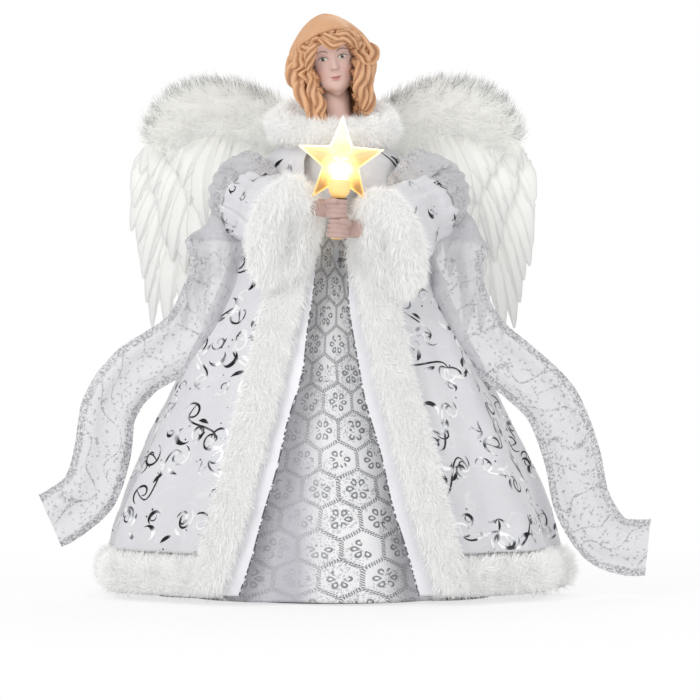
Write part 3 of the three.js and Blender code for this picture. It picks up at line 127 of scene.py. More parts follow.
def minus(tree, a, b):
    return sums(tree, "SUBTRACT", a, b)


def over(tree, value, limit):
    return sums(tree, "GREATER_THAN", value, limit)


def vectors(tree, operation, a, b=(0, 0, 0), c=(0, 0, 0)):
    return put(tree, "ShaderNodeVectorMath", {"operation": operation}, i0=a, i1=b, i2=c).outputs[0]


def partsOf(tree, vector):
    return put(tree, "ShaderNodeSeparateXYZ", None, i0=vector).outputs


def ramp(tree, source, stops):
    node = put(tree, "ShaderNodeValToRGB", None, Fac=source)
    while len(node.color_ramp.elements) < len(stops):
        node.color_ramp.elements.new(0.5)
    for element, (at, colour) in zip(node.color_ramp.elements, stops):
        element.position = at
        element.color = tuple(colour) + (1,)
    return node.outputs[0]


def mixed(tree, factor, a, b):
    node = put(tree, "ShaderNodeMix", {"data_type": "RGBA"}, i0=factor)
    for plug, value in ((node.inputs[6], a), (node.inputs[7], b)):
        if isinstance(value, bpy.types.NodeSocket):
            tree.links.new(value, plug)
        else:
            plug.default_value = tuple(value) + (1,)
    return node.outputs[2]


def multiplied(tree, a, b):
    node = put(tree, "ShaderNodeMix", {"data_type": "RGBA", "blend_type": "MULTIPLY"}, i0=1.0)
    tree.links.new(a, node.inputs[6])
    tree.links.new(b, node.inputs[7])
    return node.outputs[2]


def mixedVectors(tree, factor, a, b):
    node = put(tree, "ShaderNodeMix", {"data_type": "VECTOR"}, i0=factor)
    tree.links.new(a, node.inputs[4])
    tree.links.new(b, node.inputs[5])
    return node.outputs[1]


def bump(tree, height, distance, strength=1.0, below=None):
    node = put(tree, "ShaderNodeBump", None, Height=height, Distance=distance, Strength=strength)
    if below is not None:
        tree.links.new(below, node.inputs["Normal"])
    return node.outputs[0]


def place(tree, kind="Object"):
    return tree.nodes.new("ShaderNodeTexCoord").outputs[kind]


def attribute(tree, name, kind="Fac"):
    return put(tree, "ShaderNodeAttribute", {"attribute_name": name}).outputs[kind]


def speckle(tree, source, scale, detail=2.0, rough=0.5):
    return put(tree, "ShaderNodeTexNoise", None, Vector=source, Scale=scale, Detail=detail,
               Roughness=rough).outputs[0]


# Wavy rings on a vector that noise has pushed about, so that they curl like printed scrolls.
def curledRings(tree, vector, noiseScale, share, scale, distortion):
    warp = put(tree, "ShaderNodeTexNoise", None, Vector=vector, Scale=noiseScale, Detail=1.0).outputs[1]
    return put(tree, "ShaderNodeTexWave", {"wave_type": "RINGS", "rings_direction": "SPHERICAL"},
               Vector=mixedVectors(tree, share, vector, warp), Scale=scale, Distortion=distortion,
               Detail=0.0).outputs[1]


def diagonalWeave(tree, vector, scale, distortion):
    return put(tree, "ShaderNodeTexWave", {"wave_type": "BANDS", "bands_direction": "DIAGONAL"},
               Vector=vector, Scale=scale, Distortion=distortion, Detail=2.0).outputs[1]


# Grains of glitter: 1 in the cells whose random tone is over the limit.
def grains(tree, vector, scale, limit):
    cells = put(tree, "ShaderNodeTexVoronoi", None, Vector=vector, Scale=scale)
    return over(tree, put(tree, "ShaderNodeSeparateColor", None, i0=cells.outputs["Color"]).outputs[0], limit)


# Links sockets to the shader's inputs, named with _ for a space.
def feed(tree, shader, **sockets):
    for name, socket in sockets.items():
        tree.links.new(socket, shader.inputs[name.replace("_", " ")])


def setBase(shader, colour=None, rough=None, metal=None, **rest):
    if colour is not None:
        shader.inputs["Base Color"].default_value = tuple(colour) + (1,)
    if rough is not None:
        shader.inputs["Roughness"].default_value = rough
    if metal is not None:
        shader.inputs["Metallic"].default_value = metal
    for key, value in rest.items():
        shader.inputs[key.replace("_", " ")].default_value = value


# Shapes: curves, grids and meshes
xAxis, yAxis, zAxis = np.eye(3)


def along(shares, t):
    shares = np.asarray(shares, float)
    last = len(shares) - 1
    where = np.clip(np.asarray(t, float), 0, 1) * last
    i = np.minimum(np.floor(where).astype(int), last - 1)
    before, start = shares[np.maximum(i - 1, 0)], shares[i]
    end, after = shares[i + 1], shares[np.minimum(i + 2, last)]
    f = where - i
    one, two = (end - before) / 2, (after - start) / 2
    return ((2 * f**3 - 3 * f**2 + 1) * start + (f**3 - 2 * f**2 + f) * one
            + (3 * f**2 - 2 * f**3) * end + (f**3 - f**2) * two)


def smoothRise(x, low, high):
    t = np.clip((np.asarray(x, float) - low) / (high - low), 0, 1)
    return t * t * (3 - 2 * t)


def unit(v):
    v = np.asarray(v, float)
    return v / np.maximum(np.linalg.norm(v, axis=-1, keepdims=True), 1e-9)


def gridNormals(grid, wrap):
    up = np.concatenate([grid[:1], grid[:-1]])
    down = np.concatenate([grid[1:], grid[-1:]])
    if wrap:
        before, after = np.roll(grid, 1, axis=1), np.roll(grid, -1, axis=1)
    else:
        before = np.concatenate([grid[:, :1], grid[:, :-1]], axis=1)
        after = np.concatenate([grid[:, 1:], grid[:, -1:]], axis=1)
    return unit(np.cross(after - before, up - down))


# Normals of a closed grid round the head, turned outwards.
def outwardNormals(grid):
    normals = gridNormals(grid, True)
    return -normals if normals[grid.shape[0] // 2, grid.shape[1] // 2, 1] > 0 else normals


def curveAt(points, t):
    points = np.asarray(points, float)
    return np.stack([along(points[:, k], t) for k in range(points.shape[1])], axis=-1)


def smoothCurve(points, count):
    return curveAt(points, np.linspace(0, 1, count))


def roundTurn(count):
    return np.linspace(0, 2 * np.pi, count, endpoint=False)


# A rough but repeatable field from -1 to 1 at each point.
def field(points, scale, seed=0.0):
    shape = np.shape(points)[:-1]
    flat = np.asarray(points, float).reshape(-1, 3) * scale + seed
    return np.array([noise.noise(p) for p in flat.tolist()]).reshape(shape)


def shadeSmooth(mesh, smooth=True):
    mesh.polygons.foreach_set("use_smooth", np.full(len(mesh.polygons), smooth))


def makeMesh(name, points, faces, uv=None, values=None):
    mesh = bpy.data.meshes.new(name)
    where = toWorld(points)
    faces = np.asarray(faces, int)
    mesh.vertices.add(len(where))
    mesh.vertices.foreach_set("co", where.astype(np.float32).ravel())
    mesh.loops.add(faces.size)
    mesh.loops.foreach_set("vertex_index", faces.ravel())
    mesh.polygons.add(len(faces))
    mesh.polygons.foreach_set("loop_start", np.arange(0, faces.size, faces.shape[1]))
    mesh.update(calc_edges=True)
    mesh.validate()
    shadeSmooth(mesh)
    if uv is not None:
        layer = mesh.uv_layers.new(name="cut")
        layer.data.foreach_set("uv", np.asarray(uv, float)[faces.ravel()].astype(np.float32).ravel())
    for key, value in (values or {}).items():
        value = np.asarray(value, np.float32)
        if value.ndim == 1:
            mesh.attributes.new(key, "FLOAT", "POINT").data.foreach_set("value", value)
        else:
            full = np.ones((len(value), 4), np.float32)
            full[:, :3] = value
            mesh.attributes.new(key, "FLOAT_COLOR", "POINT").data.foreach_set("color", full.ravel())
    return linked(name, mesh)


def gridFaces(rows, columns, wrap):
    i, j = np.meshgrid(np.arange(rows - 1), np.arange(columns if wrap else columns - 1), indexing="ij")
    here, k = i * columns, (j + 1) % columns
    below = here + columns
    return np.stack([here + j, below + j, below + k, here + k], -1).reshape(-1, 4)


def closed(grid):
    return np.concatenate([grid, grid[:, :1]], axis=1)


# Cloth from a grid of points that runs downwards, with its cut's measurements as UV, in metres.
def clothObject(name, grid, wrap=False, values=None):
    grid = closed(grid) if wrap else grid
    rows, columns = grid.shape[:2]
    acrossSteps = np.linalg.norm(np.diff(grid, axis=1), axis=2).mean(axis=0)
    downSteps = np.linalg.norm(np.diff(grid, axis=0), axis=2).mean(axis=1)
    u = np.concatenate([[0], np.cumsum(acrossSteps)]) * 0.001
    v = -np.concatenate([[0], np.cumsum(downSteps)]) * 0.001
    uv = np.stack(np.broadcast_arrays(u[None, :], v[:, None]), -1)
    flat = {key: np.asarray(value).reshape(rows * columns, -1).squeeze()
            for key, value in (values or {}).items()}
    return makeMesh(name, grid.reshape(-1, 3), gridFaces(rows, columns, False), uv.reshape(-1, 2), flat)


# Faces turned outwards; a weld distance in metres merges doubled points first.
def turnOut(made, weld=0.0):
    shape = bmesh.new()
    shape.from_mesh(made.data)
    if weld:
        bmesh.ops.remove_doubles(shape, verts=shape.verts, dist=weld)
    bmesh.ops.recalc_face_normals(shape, faces=shape.faces)
    shape.to_mesh(made.data)
    shape.free()


# A closed skin over rings of points; an open run of rings gets a cap at both ends.
def ringsObject(name, rings, looped=False, values=None):
    rings = np.asarray(rings, float)
    stations, count = rings.shape[:2]
    points = rings.reshape(-1, 3)
    faces = gridFaces(stations, count, True).tolist()
    last = (stations - 1) * count
    if looped:
        faces += [[last + j, j, (j + 1) % count, last + (j + 1) % count] for j in range(count)]
    else:
        points = np.concatenate([points, rings[:1].mean(axis=1), rings[-1:].mean(axis=1)])
        first, end = len(points) - 2, len(points) - 1
        faces += [[first, j, (j + 1) % count] for j in range(count)]
        faces += [[end, last + (j + 1) % count, last + j] for j in range(count)]
    mesh = bpy.data.meshes.new(name)
    mesh.from_pydata(toWorld(points).tolist(), [], faces)
    for key, value in (values or {}).items():
        value = np.asarray(value, np.float32).ravel()
        value = np.concatenate([value, np.full(len(points) - len(value), value.mean(), np.float32)])
        mesh.attributes.new(key, "FLOAT", "POINT").data.foreach_set("value", value)
    made = linked(name, mesh)
    turnOut(made, 1e-6)
    shadeSmooth(made.data)
    return made


def ellipseRing(centre, across, up, halfAcross, halfUp, count):
    angle = roundTurn(count)
    return centre + across * (halfAcross * np.cos(angle))[:, None] + up * (halfUp * np.sin(angle))[:, None]


def paint(made, material):
    made.data.materials.clear()
    made.data.materials.append(material)


# A piece that moves with its body and stands for CAD nodes, if any; fur comes with its materials on.
def finishPiece(made, material, body, slot, *nodes):
    if material is not None:
        paint(made, material)
    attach(made, body)
    if nodes:
        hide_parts(*nodes)
    return made


def thicken(made, thickness, offset=0):
    wall = made.modifiers.new("wall", "SOLIDIFY")
    wall.thickness = thickness * 0.001
    wall.offset = offset


def baked(made):
    evaluated = made.evaluated_get(bpy.context.evaluated_depsgraph_get())
    mesh = bpy.data.meshes.new_from_object(evaluated)
    made.modifiers.clear()
    made.data = mesh
    return made


# Cloth, fur, feather and other finishes
warmWhite = (1, 1, 0.985, 1)


# On fur and down the strands' roots (low) are darker as painted shade inside the pile, and glow is a painted
# glow standing in for light scattered through it.
def furFinish(name, low, high, tipTone, glow):
    made, tree, shader = newMaterial(name)
    body = ramp(tree, attribute(tree, "along"), [(0.0, low), (0.4, high), (1.0, tipTone)])
    tint = ramp(tree, speckle(tree, place(tree), 260, 2), [(0.3, (0.965, 0.965, 0.965)),
                                                           (0.7, (1.0, 1.0, 0.995))])
    feed(tree, shader, Base_Color=multiplied(tree, body, tint))
    setBase(shader, rough=0.85, Sheen_Weight=0.25, Specular_IOR_Level=0.2, Emission_Color=warmWhite,
            Emission_Strength=glow)
    return made


# The backing under the pile: random tone, and a faint painted glow.
def plushFinish():
    made, tree, shader = newMaterial("plush backing")
    where = place(tree)
    fine, broad = speckle(tree, where, 900, 3, 0.7), speckle(tree, where, 120, 2)
    feed(tree, shader, Base_Color=mixed(tree, broad, (0.92, 0.92, 0.92), (0.97, 0.97, 0.965)),
         Normal=bump(tree, fine, 0.0012, 0.9, bump(tree, broad, 0.002, 0.5)))
    setBase(shader, rough=0.95, Sheen_Weight=0.4, Emission_Color=warmWhite, Emission_Strength=0.04)
    return made


# Satin with faint curled lines in its weave.
def satinFinish(name, colour, shade, swirl, rough=0.42):
    made, tree, shader = newMaterial(name)
    cut = place(tree, "UV")
    arcs = curledRings(tree, cut, 38.0, 0.07, swirl, 3.5)
    lines = times(tree, ramp(tree, arcs, [(0.42, (0, 0, 0)), (0.5, (1, 1, 1)), (0.58, (0, 0, 0))]), 0.4)
    base = mixed(tree, speckle(tree, cut, 26, 3), shade, colour)
    creases = bump(tree, speckle(tree, cut, 70, 4, 0.6), 0.0016, 0.5)
    feed(tree, shader, Base_Color=mixed(tree, lines, base, (0.86, 0.86, 0.88)),
         Normal=bump(tree, diagonalWeave(tree, cut, 620.0, 1.5), 0.00005, 0.6, creases))
    setBase(shader, rough=rough, Sheen_Weight=0.2, Specular_IOR_Level=0.6)
    return made


# Dark patches, metal there, and bright patches are painted reflections of the silver foil.
def foilFinish():
    made, tree, shader = newMaterial("silver foil print")
    where = place(tree)
    reflectionPatch = speckle(tree, where, 120, 1)
    tone = ramp(tree, reflectionPatch, [(0.42, (0.03, 0.03, 0.035)), (0.48, (0.24, 0.25, 0.27)),
                              (0.53, (0.62, 0.63, 0.66)), (0.57, (0.99, 0.99, 0.99))])
    feed(tree, shader, Base_Color=tone,
         Metallic=ramp(tree, reflectionPatch, [(0.46, (0.9, 0.9, 0.9)), (0.56, (0.1, 0.1, 0.1))]),
         Normal=bump(tree, speckle(tree, where, 500, 1), 0.0002, 0.4))
    setBase(shader, rough=0.22)
    return made


brocadeSizes = {"wide": 15.5, "stretch": 1.17, "band": 0.445, "dashes": 44.0, "slant": 60.0, "petals": 6.0,
                "petalAt": 0.2, "petalHalf": 0.055, "petalLine": 0.02}


# Hexagon lattice of rope-like dashes with a rosette in each cell, woven in silver on white.
def brocadeFinish():
    made, tree, shader = newMaterial("hexagon brocade")
    s = brocadeSizes
    cut = put(tree, "ShaderNodeMapping", None, Vector=place(tree, "UV"),
              Scale=(1000 / s["wide"], 1000 / (s["wide"] * s["stretch"]), 1.0)).outputs[0]
    warp = put(tree, "ShaderNodeTexNoise", None, Vector=cut, Scale=1.1, Detail=0.0).outputs[1]
    moved = vectors(tree, "MULTIPLY_ADD", warp, (0.12, 0.12, 0.0), cut)
    cell, half = (1.0, math.sqrt(3), 1.0), (0.5, math.sqrt(3) / 2, 0.5)

    def folded(offset):
        inside = vectors(tree, "WRAP", vectors(tree, "ADD", moved, offset), cell)
        return vectors(tree, "SUBTRACT", inside, half)

    def squares(x, y):
        return plus(tree, times(tree, x, x), times(tree, y, y))

    first, second = folded((0, 0, 0)), folded(half)
    nearFirst = sums(tree, "LESS_THAN", squares(*partsOf(tree, first)[:2]),
                     squares(*partsOf(tree, second)[:2]))
    x, y = partsOf(tree, mixedVectors(tree, nearFirst, second, first))[:2]
    absX, absY = sums(tree, "ABSOLUTE", x), sums(tree, "ABSOLUTE", y)
    hexagon = sums(tree, "MAXIMUM", absX, plus(tree, times(tree, absX, 0.5), times(tree, absY, 0.866)))
    angle, radius = sums(tree, "ARCTAN2", y, x), sums(tree, "SQRT", squares(x, y))
    rope = sums(tree, "SINE", plus(tree, times(tree, angle, s["dashes"]), times(tree, hexagon, s["slant"])))
    dashes = times(tree, over(tree, hexagon, s["band"]), over(tree, rope, -0.1))
    petal = sums(tree, "ARCCOSINE", sums(tree, "COSINE", times(tree, angle, s["petals"])))
    aside = times(tree, sums(tree, "DIVIDE", petal, s["petals"]), s["petalAt"])
    out = minus(tree, radius, s["petalAt"])
    loop = sums(tree, "SQRT", plus(tree, times(tree, out, times(tree, out, 0.5)), times(tree, aside, aside)))
    rosette = times(tree, sums(tree, "COMPARE", loop, s["petalHalf"], s["petalLine"]),
                    over(tree, speckle(tree, cut, 2.6, 2), 0.44))
    drawn = sums(tree, "MAXIMUM", dashes, rosette)
    patches = times(tree, grains(tree, cut, 26.0, 0.72), over(tree, speckle(tree, cut, 0.8, 3), 0.46))
    shadow = attribute(tree, "shadow")
    metal = times(tree, sums(tree, "MINIMUM", plus(tree, drawn, times(tree, patches, 0.5)), 1.0),
                  minus(tree, 1.0, times(tree, shadow, 0.9)))
    white = mixed(tree, speckle(tree, cut, 3.0, 3), (0.86, 0.86, 0.88), (0.97, 0.97, 0.975))
    silver = mixed(tree, speckle(tree, cut, 17.0, 2), (0.02, 0.02, 0.025), (0.56, 0.57, 0.59))
    shade = mixed(tree, shadow, (1, 1, 1), (0.62, 0.62, 0.66))
    feed(tree, shader, Base_Color=multiplied(tree, mixed(tree, metal, white, silver), shade),
         Metallic=times(tree, metal, 0.55), Roughness=minus(tree, 0.55, times(tree, metal, 0.22)),
         Normal=bump(tree, diagonalWeave(tree, cut, 11.0, 3.0), 0.00012, 0.7, bump(tree, drawn, 0.0004, 0.8)))
    setBase(shader, Specular_IOR_Level=0.5)
    return made


gauzeSizes = {"solid": 0.74, "pattern": 0.08, "glitter": 0.3, "sparks": 0.5, "strays": 0.9}


# See-through silver gauze with curled bands and borders of glitter.
def organzaFinish():
    made, tree, shader = newMaterial("silver gauze")
    s = gauzeSizes
    cut = place(tree, "UV")
    arcs = curledRings(tree, cut, 30.0, 0.06, 11.0, 5.0)
    swirl = ramp(tree, arcs, [(0.40, (0, 0, 0)), (0.47, (1, 1, 1)), (0.53, (1, 1, 1)), (0.60, (0, 0, 0))])
    pattern = sums(tree, "MINIMUM", plus(tree, swirl, attribute(tree, "border")), 1.0)
    glitter = sums(tree, "MAXIMUM", times(tree, pattern, grains(tree, cut, 1500.0, s["sparks"])),
                   times(tree, grains(tree, cut, 900.0, s["strays"]), 0.7))
    tone = mixed(tree, speckle(tree, cut, 900.0, 1), (0.10, 0.10, 0.11), (0.80, 0.80, 0.82))
    veil = plus(tree, times(tree, pattern, s["pattern"]), times(tree, glitter, s["glitter"]))
    threads = put(tree, "ShaderNodeTexChecker", None, Vector=cut, Scale=3200.0).outputs[1]
    feed(tree, shader, Base_Color=mixed(tree, glitter, (0.68, 0.68, 0.71), tone),
         Metallic=times(tree, glitter, 0.6), Alpha=sums(tree, "MINIMUM", plus(tree, s["solid"], veil), 1.0),
         Normal=bump(tree, threads, 0.00005, 0.4, bump(tree, speckle(tree, cut, 60, 3), 0.001, 0.5)))
    setBase(shader, rough=0.5, Sheen_Weight=0.3)
    return made


# The feather's UV has the vane's half from -1 to 1 across and metres along.
def featherFinish():
    made, tree, shader = newMaterial("goose feather")
    cut = place(tree, "UV")
    x, y = partsOf(tree, cut)[:2]
    side = sums(tree, "ABSOLUTE", x)
    slanted = times(tree, minus(tree, y, times(tree, side, 0.012)), 9000.0)
    barbs = sums(tree, "SINE", plus(tree, slanted, times(tree, speckle(tree, cut, 3.0, 2), 6.0)))
    edgeTone = ramp(tree, side, [(0.0, (0.98, 0.98, 0.955)), (0.6, (0.97, 0.97, 0.945)),
                                 (0.88, (0.90, 0.90, 0.885)), (1.0, (0.70, 0.70, 0.695))])
    lengthTone = ramp(tree, attribute(tree, "reach"), [(0.0, (0.97, 0.97, 0.95)), (0.6, (1, 1, 0.985)),
                                                       (1.0, (0.90, 0.90, 0.90))])
    quill = times(tree, sums(tree, "LESS_THAN", side, 0.05), 0.8)
    vane = multiplied(tree, edgeTone, lengthTone)
    feed(tree, shader, Base_Color=mixed(tree, quill, vane, (0.985, 0.985, 0.96)),
         Normal=bump(tree, barbs, 0.00008, 0.5))
    # A faint emission adds a painted glow to the feathers.
    setBase(shader, rough=0.62, Sheen_Weight=0.3, Specular_IOR_Level=0.35, Emission_Color=(1, 1, 0.97, 1),
            Emission_Strength=0.07)
    return made


def liningFinish():
    made, tree, shader = newMaterial("lining satin")
    cut = place(tree, "UV")
    sparks = over(tree, speckle(tree, cut, 500, 2), 0.46)
    edge = times(tree, over(tree, attribute(tree, "edge"), 0.93), sparks)
    satin = mixed(tree, speckle(tree, cut, 60, 2), (0.78, 0.78, 0.82), (0.90, 0.90, 0.93))
    feed(tree, shader, Base_Color=mixed(tree, edge, satin, (0.08, 0.08, 0.09)),
         Normal=bump(tree, speckle(tree, cut, 90, 3), 0.0008, 0.4))
    setBase(shader, rough=0.4, Sheen_Weight=0.2)
    return made


def plainFinish(name, colour, rough, metal=0.0, grain=500.0, depth=0.0001, contrast=0.05):
    made, tree, shader = newMaterial(name)
    fine = speckle(tree, place(tree), grain, 3, 0.6)
    dark = tuple(max(c - contrast, 0) for c in colour)
    feed(tree, shader, Base_Color=mixed(tree, fine, dark, colour),
         Roughness=plus(tree, rough - 0.06, times(tree, fine, 0.12)), Normal=bump(tree, fine, depth, 0.6))
    setBase(shader, metal=metal)
    return made


# Painted skin of the neck and hands: the face's tone, made lighter on the neck as painted light against the
# shade of hair and collar, and darker on the hands.
def skinFinish(name, share):
    made, tree, shader = newMaterial(name)
    light = tuple(c * share for c in skinTones["skin"])
    dark = tuple(c * 0.94 for c in light)
    feed(tree, shader, Base_Color=mixed(tree, speckle(tree, place(tree), 300, 2), dark, light))
    setBase(shader, rough=0.42, Specular_IOR_Level=0.35)
    return made


skinTones = {"skin": (0.71, 0.50, 0.445), "blush": (0.66, 0.33, 0.31), "lip": (0.56, 0.20, 0.21),
             "dark": (0.035, 0.02, 0.015), "brow": (0.13, 0.06, 0.035), "white": (0.80, 0.77, 0.74),
             "lid": (0.60, 0.40, 0.36)}
finish = {
    # The last number of the fur and the down is their painted glow.
    "fur": furFinish("white plush pile", (0.88, 0.88, 0.88), (0.96, 0.96, 0.955), (0.99, 0.99, 0.98), 0.085),
    "down": furFinish("marabou down", (0.92, 0.92, 0.89), (0.97, 0.97, 0.94), (0.91, 0.91, 0.89), 0.10),
    "barb": furFinish("marabou barbs", (0.86, 0.86, 0.85), (0.66, 0.66, 0.65), (0.30, 0.30, 0.30), 0.0),
    "plush": plushFinish(),
    "robe": satinFinish("robe satin", (0.77, 0.77, 0.80), (0.66, 0.66, 0.69), 16.0),
    "bodice": satinFinish("bodice satin", (0.72, 0.72, 0.75), (0.58, 0.58, 0.61), 60.0, 0.3),
    "foil": foilFinish(),
    "brocade": brocadeFinish(),
    "organza": organzaFinish(),
    "lining": liningFinish(),
    "feather": featherFinish(),
    "cone": plainFinish("moulded cone", (0.90, 0.89, 0.86), 0.7),
    "foam": plainFinish("torso foam", (0.95, 0.94, 0.92), 0.9, grain=1400.0, depth=0.0004),
    "felt": plainFinish("felt backing", (0.93, 0.93, 0.91), 0.95, grain=420.0, depth=0.0009, contrast=0.16),
    "steel": plainFinish("bright wire", (0.72, 0.73, 0.75), 0.32, 1.0, 2500.0, 0.00003),
    "padding": plainFinish("wadding", (0.95, 0.95, 0.94), 0.95, grain=900.0, depth=0.0005),
    "white": plainFinish("white moulding", (0.93, 0.93, 0.92), 0.42, 0.0, 1800.0, 0.00004, 0.02),
    "cell": plainFinish("cell wrap", (0.34, 0.46, 0.58), 0.35, 0.2, 900.0, 0.00002),
    "lead": plainFinish("lead sheath", (0.30, 0.30, 0.31), 0.5, grain=900.0, depth=0.00005),
    "neck": skinFinish("neck paint", 1.3),
    "hand": skinFinish("hand paint", 0.78),
}
print("stage: finishes made")


# Pile: one shared node tree grows every strand of fur and down
strandForm = {"sides": 3, "segments": 2, "droop": -0.35, "tufts": 150.0, "shortest": 0.5, "longest": 1.15}


def pileTree():
    tree = bpy.data.node_groups.new("pile", "GeometryNodeTree")
    face = tree.interface
    names = {"shape": "Geometry", "density": "Float", "length": "Float", "width": "Float", "comb": "Vector",
             "stand": "Float", "clump": "Float", "messiness": "Float", "bend": "Float", "seed": "Int",
             "material": "Material"}
    sockets = {name: face.new_socket(name, in_out="INPUT", socket_type="NodeSocket%s" % kind).identifier
               for name, kind in names.items()}
    face.new_socket("shape", in_out="OUTPUT", socket_type="NodeSocketGeometry")
    given = tree.nodes.new("NodeGroupInput").outputs
    out = tree.nodes.new("NodeGroupOutput")

    thick = put(tree, "GeometryNodeInputNamedAttribute", {"data_type": "FLOAT"}, Name="furred").outputs[0]
    spread = put(tree, "GeometryNodeDistributePointsOnFaces", {"distribute_method": "RANDOM"},
                 Mesh=given["shape"], Density=times(tree, given["density"], thick),
                 Seed=given["seed"]).outputs
    cone = put(tree, "GeometryNodeMeshCone", {"fill_type": "NONE"}, Vertices=strandForm["sides"])
    cone.inputs["Side Segments"].default_value = strandForm["segments"]
    cone.inputs["Radius Top"].default_value = 0.0
    tree.links.new(given["width"], cone.inputs["Radius Bottom"])
    tree.links.new(given["length"], cone.inputs["Depth"])
    height = partsOf(tree, tree.nodes.new("GeometryNodeInputPosition").outputs[0])[2]
    rise = sums(tree, "DIVIDE", height, given["length"])
    pushed = times(tree, times(tree, times(tree, rise, rise), given["length"]), given["bend"])
    offset = put(tree, "ShaderNodeCombineXYZ", None, X=pushed,
                 Z=times(tree, pushed, strandForm["droop"])).outputs[0]
    marked = put(tree, "GeometryNodeStoreNamedAttribute", {"data_type": "FLOAT", "domain": "POINT"},
                 Geometry=cone.outputs["Mesh"], Name="along", Value=rise).outputs[0]
    strand = put(tree, "GeometryNodeSetPosition", None, Geometry=marked, Offset=offset).outputs[0]

    wild = put(tree, "FunctionNodeRandomValue", {"data_type": "FLOAT_VECTOR"}, Seed=given["seed"])
    wild.inputs["Min"].default_value = (-1, -1, -1)
    wild.inputs["Max"].default_value = (1, 1, 1)

    def scaled(vector, by):
        return put(tree, "ShaderNodeVectorMath", {"operation": "SCALE"}, i0=vector, Scale=by).outputs[0]

    tuft = put(tree, "ShaderNodeTexNoise", None, Scale=strandForm["tufts"], Detail=1.0).outputs[1]
    tuft = scaled(vectors(tree, "SUBTRACT", tuft, (0.5, 0.5, 0.5)), given["clump"])
    swing = vectors(tree, "ADD", given["comb"], tuft)
    combed = vectors(tree, "ADD", scaled(spread["Normal"], given["stand"]), given["comb"])
    loose = vectors(tree, "ADD", tuft, scaled(wild.outputs[0], given["messiness"]))
    heading = vectors(tree, "ADD", combed, loose)
    upright = put(tree, "FunctionNodeAlignRotationToVector", {"axis": "Z"}, Vector=heading).outputs[0]
    swung = put(tree, "FunctionNodeAlignRotationToVector", {"axis": "X", "pivot_axis": "Z"},
                Rotation=upright, Vector=swing).outputs[0]
    size = put(tree, "FunctionNodeRandomValue", {"data_type": "FLOAT"}, Seed=given["seed"],
               i2=strandForm["shortest"], i3=strandForm["longest"])
    grown = put(tree, "GeometryNodeInstanceOnPoints", None, Points=spread["Points"], Instance=strand,
                Rotation=swung, Scale=size.outputs[1]).outputs[0]
    real = put(tree, "GeometryNodeRealizeInstances", None, Geometry=grown).outputs[0]
    dressed = put(tree, "GeometryNodeSetMaterial", None, Geometry=real, Material=given["material"]).outputs[0]
    both = tree.nodes.new("GeometryNodeJoinGeometry")
    tree.links.new(given["shape"], both.inputs[0])
    tree.links.new(dressed, both.inputs[0])
    tree.links.new(both.outputs[0], out.inputs[0])
    return tree, sockets


pile, pileSockets = pileTree()
growth = {"share": 1.0, "floor": 0.0004, "flattened": 0.15}


# Strands on a base form that carries their "furred" share at each point; those at the floor are pressed up.
def grow(base, s, seed, kind, side):
    paint(base, finish["plush"])
    thick = np.zeros(len(base.data.vertices), np.float32)
    base.data.attributes["furred"].data.foreach_get("value", thick)
    area = sum(p.area * thick[list(p.vertices)].mean() for p in base.data.polygons)
    grower = base.modifiers.new("pile", "NODES")
    grower.node_group = pile
    aside, forwards, up = s["comb"]
    settings = {"density": s["strands"] * growth["share"] / area, "length": s["pile"] * 0.001,
                "width": s["strand"] * 0.001, "comb": (side * aside, forwards, up), "stand": s["stand"],
                "clump": s["clump"], "messiness": s["mess"], "bend": s["bend"], "seed": seed,
                "material": finish[kind]}
    for key, value in settings.items():
        grower[pileSockets[key]] = value
    baked(base)
    places = np.empty(len(base.data.vertices) * 3, np.float32)
    base.data.vertices.foreach_get("co", places)
    places = places.reshape(-1, 3)
    z = places[:, 2]
    places[:, 2] = np.where(z < growth["floor"], growth["floor"] + growth["flattened"] * (z - z.min()), z)
    base.data.vertices.foreach_set("co", places.ravel())


# A padded fur piece: lumpy rings and their strands, attached to its body in place of its CAD nodes.
def makeFur(name, rings, looped, furred, s, seed, nodes=(), kind="fur", side=1, body="figure", slot="fur"):
    rings = np.asarray(rings, float)
    middle = rings.mean(axis=1, keepdims=True)
    reach = np.maximum(np.linalg.norm(rings - middle, axis=2), 2)
    swell = 1 + field(rings, s["lumpScale"], 4.0) * s["lump"] / reach
    made = ringsObject(name, middle + (rings - middle) * swell[..., None], looped, {"furred": furred})
    grow(made, s, seed, kind, side)
    finishPiece(made, None, body, slot, *nodes)


# Robe
robeSizes = {"top": 236.3, "hem": 25.8, "halfWidth": 119, "halfDepth": 83, "fold": 8 / 166, "openTop": 198.3,
             "leftEdge": (13, 61), "rightEdge": (15, 64), "bow": 1.12, "thickness": 0.9, "columns": 330,
             "rows": 150, "crease": 1.7, "creaseScale": 0.04, "tuckTop": 240.0, "tuckFrom": 227.0,
             "tuck": 0.3, "vineStep": 29.0, "vine": 34.0, "sprigStep": 22.0, "sprig": 13.0,
             "sprigShift": (8, 5), "foilLift": 0.12, "lowest": 6.0,
             "widths": [0.29, 0.375, 0.51, 0.66, 0.81, 0.94, 1],
             "depths": [0.26, 0.34, 0.48, 0.62, 0.78, 0.91, 1]}


def robeEdge(side, z):
    share = np.clip(1 - z / robeSizes["openTop"], 0, 1) ** robeSizes["bow"]
    near, far = robeSizes["leftEdge"] if side > 0 else robeSizes["rightEdge"]
    return side * (near + (far - near) * share)


